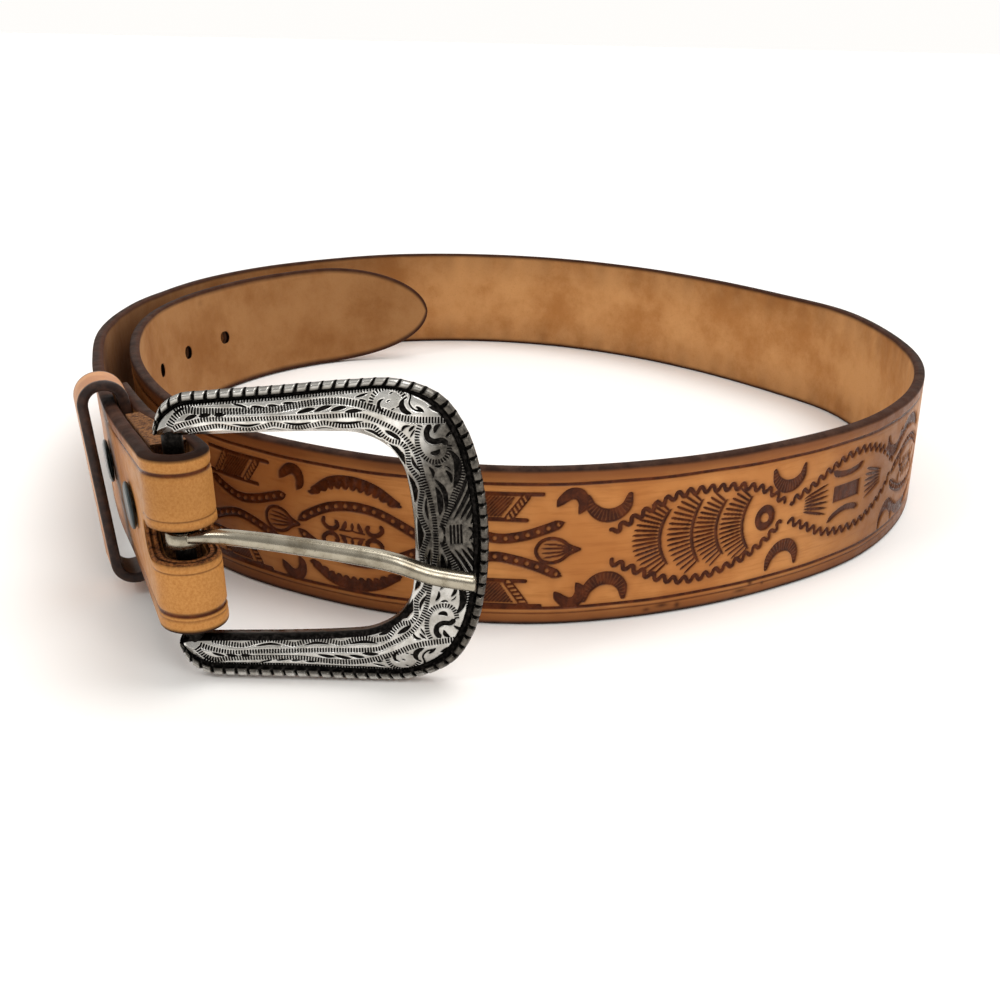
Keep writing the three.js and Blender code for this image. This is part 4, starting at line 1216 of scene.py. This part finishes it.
def strap_fields(run, up, out):
    """Tone, depth and colour shares at places on the strap"""
    half = half_width(run)
    thick = thickness(run)
    flat = 1 - smooth(0.02, 0.3, np.abs(np.abs(out) - thick / 2))
    outer = flat * (out > 0)
    warped = (run + 0.22 * wander(run, 37, 3), up + 0.2 * wander(run, 53, 5))
    tone, depth = tooling.read(*warped)
    halo = tooling_halo.read(*warped)[0]
    for middle, width, shade, deep in GROOVES:
        widen = 1 + 0.5 * smooth(30, 0, run) * (width > 0.6)
        line = soft_edge(np.abs(up - middle - 0.12 * wander(run, 61, 7)), width / 2 * widen, 0.16)
        band = line * shade
        if width > 0.6:
            offset = np.abs(up - middle) / (width * widen)
            band = band * (1 - 0.22 * smooth(30, 0, run) * (1 - smooth(0.1, 0.3, offset)))
        tone = np.maximum(tone, band)
        depth = np.maximum(depth, line * deep)
        halo = np.maximum(halo, 0.5 * np.exp(-((up - middle) / 1.1) ** 2) * shade)
    halo = np.maximum(halo, 0.95 * smooth(12.8, 18.0, np.abs(up)))
    tone, depth = tone * outer, depth * outer
    inside = flat * (out < 0)
    slope = (half - half_width(run - 0.1)) / 0.1
    inset = (half - np.abs(up)) / np.hypot(1, slope)
    billet_inner = smooth(1030, 1080, run) * (out < 0)
    near_edge = smooth(1.3 + 1.1 * billet_inner, 0.6 + 0.2 * billet_inner, inset - 0.1 * wander(run, 47, 9))
    edge = np.maximum(near_edge, 1 - flat)
    fold = smooth(22, 3, run) * smooth(-FOLD_RUN - 14, -FOLD_RUN - 4, run)
    stain_and_painted_shade = np.zeros_like(run)
    for at, height, long, tall, strength, face in STAINS_AND_PAINTED_SHADE:
        reach = np.hypot((run - at) / long, (up - height) / tall)
        stain_and_painted_shade = np.maximum(stain_and_painted_shade, strength * np.exp(-reach ** 2) * (np.sign(out) == face))
    stain_and_painted_shade = np.maximum(stain_and_painted_shade, 0.49 * smooth(895, 960, run) * (out < 0))
    rubbed = smooth(3.4, 0.8, inset - 0.5 * wander(run, 23, 11))
    stain_and_painted_shade = np.maximum(stain_and_painted_shade, 0.5 * rubbed * (out < 0))
    # Painted shadow: the outer face from run 830 to 970, the front of the strap under the buckle, is darkened where the
    # buckle shades it.
    stain_and_painted_shade = np.maximum(stain_and_painted_shade, 0.55 * smooth(830, 895, run) * (1 - smooth(940, 970, run)) * outer)
    slot_reach = np.hypot(np.maximum(np.abs(run + FOLD_RUN / 2) - SLOT_LENGTH / 2 + SLOT_WIDTH / 2, 0), up)
    at_slot = 1 - smooth(SLOT_WIDTH / 2 + 0.5, SLOT_WIDTH / 2 + 1.0, slot_reach)
    edge = edge * (1 - at_slot)
    fibre = at_slot * (0.55 + 0.45 * (1 - flat))
    crease = soft_edge(np.abs(slot_reach - SLOT_WIDTH / 2 - 2.2), 0.28, 0.2) * smooth(20, 5, run)
    tone = np.maximum(tone, 0.6 * crease * outer)
    depth = np.maximum(depth, 0.2 * crease * outer)
    fields = {"tone": tone, "inside": inside, "edge": edge, "fold": fold, "stain_and_painted_shade": stain_and_painted_shade, "halo": halo * outer, "fibre": fibre,
              "run": run, "up": up, "out": out}
    return fields, depth


def make_panel(name, panel, cap_start=False, cap_end=False):
    faces = panel.faces(cap_start, cap_end)
    run, up, out = panel.places().T
    fields, depth = strap_fields(run, up, out)
    return make_piece(name, on_strap(run, up, out - depth), faces, leather, "belt", ["strap"],
                      fields)


fold_runs = np.concatenate([
    even_runs(-FOLD_RUN - FLAP_LENGTH, -26, 1.1)[:-1], even_runs(-26, 10, 0.5)[:-1], even_runs(10, 84, 0.9),
])
fold_panel = Panel(fold_runs, 84, 84)
fold_panel.pierce(-FOLD_RUN / 2, 0, SLOT_LENGTH, SLOT_WIDTH, bevel=0.8)
make_panel("strap_fold", fold_panel, cap_start=True)
make_panel("strap_back", Panel(even_runs(84, 560, 0.62), 72))
make_panel("strap_side", Panel(even_runs(560, 690, 0.5), 84))
make_panel("strap_front_right", Panel(even_runs(690, 794, 0.26), 150))
make_panel("strap_front_left", Panel(even_runs(794, 902, 0.26), 150))
tip_angles = np.radians(np.linspace(90, 2, 40))
billet_runs = np.concatenate([
    even_runs(902, LAYER.length - TIP_LENGTH, 0.8)[:-1],
    LAYER.length - TIP_LENGTH * (1 - np.cos(tip_angles)),
])
billet_panel = Panel(billet_runs, 48, 48)
for hole in range(HOLE_COUNT):
    billet_panel.pierce(LAYER.length - HOLE_TO_TIP - hole * HOLE_SPACING, 0, HOLE_LENGTH, HOLE_WIDTH)
make_panel("strap_billet", billet_panel, cap_end=True)


# Filler

def make_filler():
    runs = even_runs(FILLER_FIRST, FILLER_LENGTH, 0.6)
    across = np.linspace(-HALF_WIDTH + 0.3, HALF_WIDTH - 0.3, 64)
    outer = -HALF_THICKNESS - SEAT_GAP
    inner = -flap_gap(runs) + HALF_THICKNESS + SEAT_GAP
    steps = 10
    depth = np.linspace(0, 1, steps + 1)
    ups = np.concatenate([across, np.full(steps - 1, across[-1]), across[::-1], np.full(steps - 1, across[0])])
    shares = np.concatenate([np.zeros(len(across)), depth[1:-1], np.ones(len(across)), depth[-2:0:-1]])
    out = outer + (inner[:, None] - outer) * shares[None, :]
    run = np.broadcast_to(runs[:, None], out.shape)
    up = np.broadcast_to(ups[None, :], out.shape)
    index = np.arange(out.size).reshape(out.shape)
    points = on_strap(run, up, out).reshape(-1, 3)
    ends = on_strap(runs[[0, -1]], 0, (outer + inner[[0, -1]]) / 2)
    points = np.concatenate([points, ends])
    faces = [grid_faces(index, closed=True), fan_cap(index[0][::-1], len(points) - 2), fan_cap(index[-1], len(points) - 1)]
    return make_piece("fold_filler_piece", points, faces, raw, "belt", ["fold_filler"])


make_filler()


# Keeper

def rounded_box_path(left, right, up, radius, spacing):
    """Points and outward directions round a box with rounded corners, centred on height 0"""
    points, normals = [], []
    corners = [(right - radius, up - radius, 0), (left + radius, up - radius, 90),
               (left + radius, -up + radius, 180), (right - radius, -up + radius, 270)]
    steps = 14
    for k, (x, y, first) in enumerate(corners):
        turns = np.radians(np.linspace(first, first + 90, steps + 1))
        around = np.stack([np.cos(turns), np.sin(turns)], axis=1)
        points.append(np.array([x, y]) + radius * around)
        normals.append(around)
        after = corners[(k + 1) % 4]
        end = np.array([x, y]) + radius * around[-1]
        next_start = np.array(after[:2]) + radius * around[-1]
        count = max(int(np.linalg.norm(next_start - end) / spacing), 1)
        shares = np.linspace(0, 1, count + 1)[1:-1, None]
        points.append(end + (next_start - end) * shares)
        normals.append(np.repeat(around[-1:], count - 1, axis=0))
    return np.concatenate(points), np.concatenate(normals)


def make_keeper():
    path, normals = rounded_box_path(-HALF_THICKNESS - SEAT_GAP - KEEPER_THICKNESS / 2,
                                     HALF_THICKNESS + KEEPER_STAND_OFF + KEEPER_THICKNESS / 2,
                                     HALF_WIDTH + KEEPER_PLAY + KEEPER_THICKNESS / 2,
                                     KEEPER_CORNER + KEEPER_THICKNESS / 2, 0.7)
    rounding = 0.6
    half = KEEPER_WIDTH / 2
    width_steps, side_steps = 20, 6
    face = np.linspace(-half + rounding, half - rounding, width_steps + 1)
    turn = np.linspace(0, math.pi, side_steps + 1)[1:-1]
    side_out = np.cos(turn) * rounding + np.sign(np.cos(turn).round(6)) * (KEEPER_THICKNESS / 2 - rounding)
    side_along = half - rounding + np.sin(turn) * rounding
    along = np.concatenate([face, side_along, face[::-1], -side_along])
    out = np.concatenate([np.full(len(face), KEEPER_THICKNESS / 2), side_out,
                          np.full(len(face), -KEEPER_THICKNESS / 2), -side_out])
    place = path[:, None, :] + normals[:, None, :] * out[None, :, None]
    run = np.broadcast_to(KEEPER_RUN + half + along[None, :], place.shape[:2])
    points = on_strap(run, place[..., 1], place[..., 0])
    index = np.arange(points.shape[0] * points.shape[1]).reshape(points.shape[:2])
    index = np.concatenate([index, index[:1]])
    nick = np.random.default_rng(4).normal(0, 0.06, len(path))[:, None]
    edge = smooth(half - 1.5, half - 0.75, np.abs(along)[None, :] + nick)
    edge = np.maximum(edge, (np.abs(out) < KEEPER_THICKNESS / 2 - 0.12)[None, :])
    inner = (out < 0)[None, :] * 0.75
    return make_piece("keeper_band", points.reshape(-1, 3), [grid_faces(index, closed=True)], keeper_leather,
                      "belt", ["keeper"], {"edge": np.maximum(edge, inner)})


make_keeper()


# Snaps

def direction_frame(direction):
    side = np.cross(direction, [0, 0, 1.0])
    side /= np.linalg.norm(side)
    return side, np.cross(side, direction)


def lathe(profile, direction, base, sides=64):
    """Points and faces of a profile of (radius, height) pairs turned round a direction"""
    side, up = direction_frame(direction)
    turns = np.linspace(0, 2 * math.pi, sides, endpoint=False)
    around = np.cos(turns)[:, None] * side + np.sin(turns)[:, None] * up
    profile = np.asarray(profile, float)
    points = base + profile[:, 0, None, None] * around + profile[:, 1, None, None] * direction
    index = np.arange(len(profile) * sides).reshape(len(profile), sides)
    return points.reshape(-1, 3), [grid_faces(index, closed=True)]


def facing_of(place):
    level = np.cos(place[2])
    return np.array([place[1][0] * level, place[1][1] * level, -np.sin(place[2])])


def one(place):
    return tuple(part[0] for part in place)


def make_snap(name):
    run, up = SNAP_PLACES[name]["run"], SNAP_PLACES[name]["up"]
    radius = SNAP_DIAMETER / 2
    profile = [(0.01, 0), (radius * 0.92, 0), (radius, 0.3), (radius, 0.62), (radius * 0.97, 0.82), (radius * 0.9, 0.98)]
    profile += [(radius * 0.86 * math.cos(a), 1.02 + 0.28 * math.sin(a)) for a in np.radians(np.linspace(0, 89.5, 12))]
    layer = one(layer_place(np.array([run])))
    outward = facing_of(layer)
    outer_out = HALF_THICKNESS + SEAT_GAP
    points, faces = lathe(profile, outward, on_strap(run, up, outer_out))
    gap = flap_gap(run)
    thick = flap_thickness(run)
    before, after = flap_place(np.array([run - 0.5]))[0][0], flap_place(np.array([run + 0.5]))[0][0]
    along = (before - after) / np.linalg.norm(before - after)
    flap = flap_place(np.array([run]))
    facing = facing_of((None, left_of(along), flap[2][0]))
    seat = (thick / 2 + SEAT_GAP) / -facing.dot(outward)
    inner_out = -gap - (thick - STRAP_THICKNESS) / 2 - seat
    more, more_faces = lathe(profile, facing, on_strap(run, up, inner_out))
    faces += [group + len(points) for group in more_faces]
    points = np.concatenate([points, more])
    post = [(1.6, 0), (1.6, outer_out - inner_out)]
    more, more_faces = lathe(post, outward, on_strap(run, up, inner_out), 32)
    faces += [group + len(points) for group in more_faces]
    points = np.concatenate([points, more])
    return make_piece(name + "_cap", points, faces, enamel, "belt", [name])


for snap_name in SNAP_PLACES:
    make_snap(snap_name)


# Buckle, in its own axes: along from the bar to the front, out to the front of the belt, up the bar

BUCKLE_TILT = math.radians(BUCKLE_LEAN)


def on_buckle(along, out, up):
    along, out, up = np.broadcast_arrays(np.asarray(along, float), out, up)
    level, rise = math.cos(BUCKLE_TILT), math.sin(BUCKLE_TILT)
    return np.stack([
        BAR[0] + along * level - up * rise, BAR[1] - out, BAR_HEIGHT + along * rise + up * level,
    ], axis=-1) + SHIFT


def band_curves():
    upper = np.array(BAND_ROWS)
    lower = upper[::-1] * np.array([1, -1, 1, -1])
    rows = np.concatenate([upper, [BAND_MIDDLE], lower])
    scale = np.array([BUCKLE_LENGTH, BUCKLE_HEIGHT / 2])
    return Curve(rows[:, :2] * scale), Curve(rows[:, 2:] * scale)


BEAD_PITCH = 2.5
ENGRAVING = draw_engraving()


def make_band(name, first, last):
    """A part of the band, between shares of its length"""
    outer_curve, inner_curve = band_curves()
    share = np.linspace(first, last, 701)
    outer, inner = outer_curve.at(share), inner_curve.at(share)
    width = np.linalg.norm(outer - inner, axis=1)[:, None]
    rim = np.minimum(RIM_WIDTH, width / 3) / width
    place = np.concatenate([np.linspace(0, 1, 17)[:-1], np.linspace(1, 2, 80)])
    across = np.where(place <= 1, place * rim, rim + (place - 1) * (1 - rim))
    section = np.array(BAND_SECTION)
    height = BUCKLE_CROWN * np.interp(place, section[:, 0], section[:, 1])[None, :]
    flat = outer[:, None, :] + (inner - outer)[:, None, :] * across[..., None]
    x, y = flat[..., 0], flat[..., 1]
    inward = across * width
    tone, depth = ENGRAVING.read(x, np.abs(y))
    front = smooth(44, 54, x)
    groove_end = RIM_WIDTH + 0.1 + 0.5 * front
    field = smooth(groove_end, groove_end + 0.25, inward)
    tone, depth = tone * field, depth * field
    # Painted shade: the band is darker towards its front and on its lower arm, which face away from the bright sky.
    patina_and_painted_shade = smooth(42, 50, x - 0.45 * np.maximum(y - 12, 0)) * (0.3 + 0.7 * smooth(-14, -2, y))
    patina_and_painted_shade = np.maximum(patina_and_painted_shade, 0.2 * smooth(10, -20, y))
    along = np.interp(share, outer_curve.table, outer_curve.lengths)
    beads = round(outer_curve.length / BEAD_PITCH)
    phase = np.abs((along / outer_curve.length * beads) % 1 - 0.5)[:, None]
    on_bead = smooth(-0.1, 0.2, inward) * (1 - smooth(1.6, 1.85, inward))
    gap = smooth(0.37, 0.43, phase) * on_bead
    swell = (1 - smooth(0.28, 0.43, phase)) * np.sqrt(np.clip(1 - ((inward - 0.9) / 1.0) ** 2, 0, 1))
    groove = smooth(1.55, 1.85, inward) * (1 - smooth(groove_end, groove_end + 0.25, inward))
    depth = depth + 0.5 * gap + 0.5 * groove - 0.42 * swell
    tone = np.maximum(np.maximum(tone, gap), groove)
    slope = (1 - smooth(0.75, 1.15, width - inward)) * smooth(6, -8, y) * smooth(47, 43, x)
    tone = np.maximum(tone, 0.8 * slope)
    # Painted shade on the beads: darker flanks beside the groove and on the outer side, and darker beads at the front.
    bead_shade = 0.3 + 0.6 * smooth(0.8, 1.4, inward) + 0.5 * smooth(0.45, 0.1, inward) + 0.7 * front
    patina_and_painted_shade = np.where(inward < 1.85, np.minimum(bead_shade, 1), patina_and_painted_shade)
    front_points = on_buckle(x, height - depth, y)
    back = on_buckle(flat[:, ::-12, 0], -BUCKLE_BACK, flat[:, ::-12, 1])
    points = np.concatenate([front_points, back], axis=1)
    tone = np.concatenate([tone, np.zeros(back.shape[:2])], axis=1).ravel()
    patina_and_painted_shade = np.concatenate([patina_and_painted_shade, np.full(back.shape[:2], 0.6)], axis=1).ravel()
    index = np.arange(points.shape[0] * points.shape[1]).reshape(points.shape[:2])
    flat_points = points.reshape(-1, 3)
    faces = [grid_faces(index, closed=True)]
    end = 0 if first == 0 else -1
    flat_points = np.concatenate([flat_points, points[[end]].mean(axis=1)])
    ring = index[0][::-1] if first == 0 else index[-1]
    faces.append(fan_cap(ring, len(flat_points) - 1))
    return make_piece(name, flat_points, faces, silver, "buckle", ["buckle_frame"],
                      {"tone": np.append(tone, 0.5), "patina_and_painted_shade": np.append(patina_and_painted_shade, 0.5)})


def make_bar():
    foot = BAND_ROWS[1][3] * BUCKLE_HEIGHT / 2 + BAR_RADIUS
    turns = np.linspace(0, 2 * math.pi, 32, endpoint=False)
    ups = np.linspace(-foot, foot, 60)
    points = on_buckle(BAR_RADIUS * np.cos(turns)[None, :], BAR_RADIUS * np.sin(turns)[None, :], ups[:, None])
    index = np.arange(points.shape[0] * points.shape[1]).reshape(points.shape[:2])
    flat_points = np.concatenate([points.reshape(-1, 3), points[[0, -1]].mean(axis=1)])
    faces = [grid_faces(index, closed=True), fan_cap(index[0][::-1], len(flat_points) - 2),
             fan_cap(index[-1], len(flat_points) - 1)]
    # Painted shade: the bar is dark all over, with a high tone and full grey, as it sits in shadow inside the strap's
    # fold.
    return make_piece("buckle_bar", flat_points, faces, silver, "buckle", ["buckle_frame"],
                      {"tone": np.full(len(flat_points), 0.55), "patina_and_painted_shade": np.ones(len(flat_points))})


make_band("buckle_band_upper", 0, 0.5)
make_band("buckle_band_lower", 0.5, 1)
make_bar()


# Tongue

def make_tongue():
    over = BUCKLE_CROWN + SEAT_GAP + TONGUE_DIAMETER / 2
    rows = np.array(TONGUE_ROWS)
    line = Curve(rows[:, :3] * np.array([TONGUE_LENGTH, over, -TONGUE_DROP]))
    share = np.linspace(0, 1, 140)
    centre = line.at(share)
    girth = TONGUE_DIAMETER / 2 * np.interp(share * (len(rows) - 1), np.arange(len(rows)), rows[:, 3])
    turns = np.linspace(0, 2 * math.pi, 40, endpoint=False)
    along = np.broadcast_to(centre[:, :1], (len(share), 40))
    out = centre[:, 1:2] + girth[:, None] * np.cos(turns)[None, :]
    up = centre[:, 2:3] + girth[:, None] * np.sin(turns)[None, :]
    points = on_buckle(along, out, up)
    index = np.arange(points.shape[0] * points.shape[1]).reshape(points.shape[:2])
    rod = np.concatenate([points.reshape(-1, 3), points[[0, -1]].mean(axis=1)])
    faces = [grid_faces(index, closed=True), fan_cap(index[0][::-1], len(rod) - 2), fan_cap(index[-1], len(rod) - 1)]
    inner = BAR_RADIUS + RUNNING_GAP
    outer = inner + TONGUE_LOOP_WALL
    half = TONGUE_LOOP_WIDTH / 2
    soft = 0.35
    profile = [(inner, -half + soft), (inner + soft, -half), (outer - soft, -half), (outer, -half + soft),
               (outer, half - soft), (outer - soft, half), (inner + soft, half), (inner, half - soft)]
    profile = np.array(profile)
    around = np.linspace(0, 2 * math.pi, 64, endpoint=False)
    loop = on_buckle(profile[None, :, 0] * np.cos(around)[:, None], profile[None, :, 0] * np.sin(around)[:, None],
                     np.broadcast_to(profile[None, :, 1], (64, len(profile))))
    loop_index = np.arange(64 * len(profile)).reshape(64, len(profile))
    loop_index = np.concatenate([loop_index, loop_index[:1]])
    faces.append(grid_faces(loop_index, closed=True) + len(rod))
    return make_piece("tongue_rod", np.concatenate([rod, loop.reshape(-1, 3)]), faces, nickel, "tongue",
                      ["tongue"])


make_tongue()


# Floor, light and camera

FLOOR = 40


def make_floor():
    mesh = bpy.data.meshes.new("floor")
    mesh.from_pydata([(-FLOOR, -FLOOR, 0), (FLOOR, -FLOOR, 0), (FLOOR, FLOOR, 0), (-FLOOR, FLOOR, 0)], [], [(0, 1, 2, 3)])
    obj = bpy.data.objects.new("floor", mesh)
    bpy.context.scene.collection.objects.link(obj)
    mesh.materials.append(floor_material())


def area_light(name, place, target, size, power):
    light = bpy.data.lights.new(name, "AREA")
    light.size = size
    light.energy = power
    obj = bpy.data.objects.new(name, light)
    bpy.context.scene.collection.objects.link(obj)
    obj.location = place
    obj.rotation_euler = (Vector(target) - Vector(place)).to_track_quat("-Z", "Y").to_euler()


def sun_light(name, towards, strength, spread):
    """Even light over the whole floor, from a direction"""
    light = bpy.data.lights.new(name, "SUN")
    light.energy = strength
    light.angle = math.radians(spread)
    obj = bpy.data.objects.new(name, light)
    bpy.context.scene.collection.objects.link(obj)
    obj.rotation_euler = (-Vector(towards)).to_track_quat("-Z", "Y").to_euler()


def make_camera():
    pitch, roll = math.radians(20.394), math.radians(1.259)
    level, rise = Vector((1, 0, 0)), Vector((0, math.sin(pitch), math.cos(pitch)))
    forward = Vector((0, math.cos(pitch), -math.sin(pitch)))
    right = math.cos(roll) * level + math.sin(roll) * rise
    up = math.cos(roll) * rise - math.sin(roll) * level
    data = bpy.data.cameras.new("camera")
    data.sensor_width = 36
    data.lens = 1240 / 1000 * 36
    obj = bpy.data.objects.new("camera", data)
    bpy.context.scene.collection.objects.link(obj)
    turn = Matrix((right, up, -forward)).transposed().to_4x4()
    obj.matrix_world = Matrix.Translation(Vector((-0.684, -384.853, 126.23)) * METRES) @ turn
    bpy.context.scene.camera = obj


def make_world():
    """Even pale light from behind and above, darker towards the side that the camera is on"""
    world = bpy.data.worlds.new("studio")
    bpy.context.scene.world = world
    world.use_nodes = True
    tree = world.node_tree
    coordinates = tree.nodes.new("ShaderNodeTexCoord")
    split = tree.nodes.new("ShaderNodeSeparateXYZ")
    tree.links.new(coordinates.outputs["Generated"], split.inputs[0])
    share = tree.nodes.new("ShaderNodeMapRange")
    share.interpolation_type = "SMOOTHSTEP"
    tree.links.new(split.outputs["Y"], share.inputs["Value"])
    for name, number in (("From Min", -0.75), ("From Max", 0.25), ("To Min", 0.45), ("To Max", 1.0)):
        share.inputs[name].default_value = number
    background = tree.nodes["Background"]
    background.inputs["Color"].default_value = (1, 0.985, 0.96, 1)
    tree.links.new(share.outputs[0], background.inputs["Strength"])
    bpy.context.scene.view_settings.view_transform = "Standard"


make_floor()
sun_light("key", (0.35, 0.2, 1.0), 1.3, 35)
area_light("front_fill", (0.4, -0.9, 0.8), (0.02, -0.1, 0.03), 0.5, 3.5)
area_light("left_glint", (-0.7, -0.6, 0.9), (-0.05, -0.1, 0.03), 0.25, 2)
make_world()
make_camera()
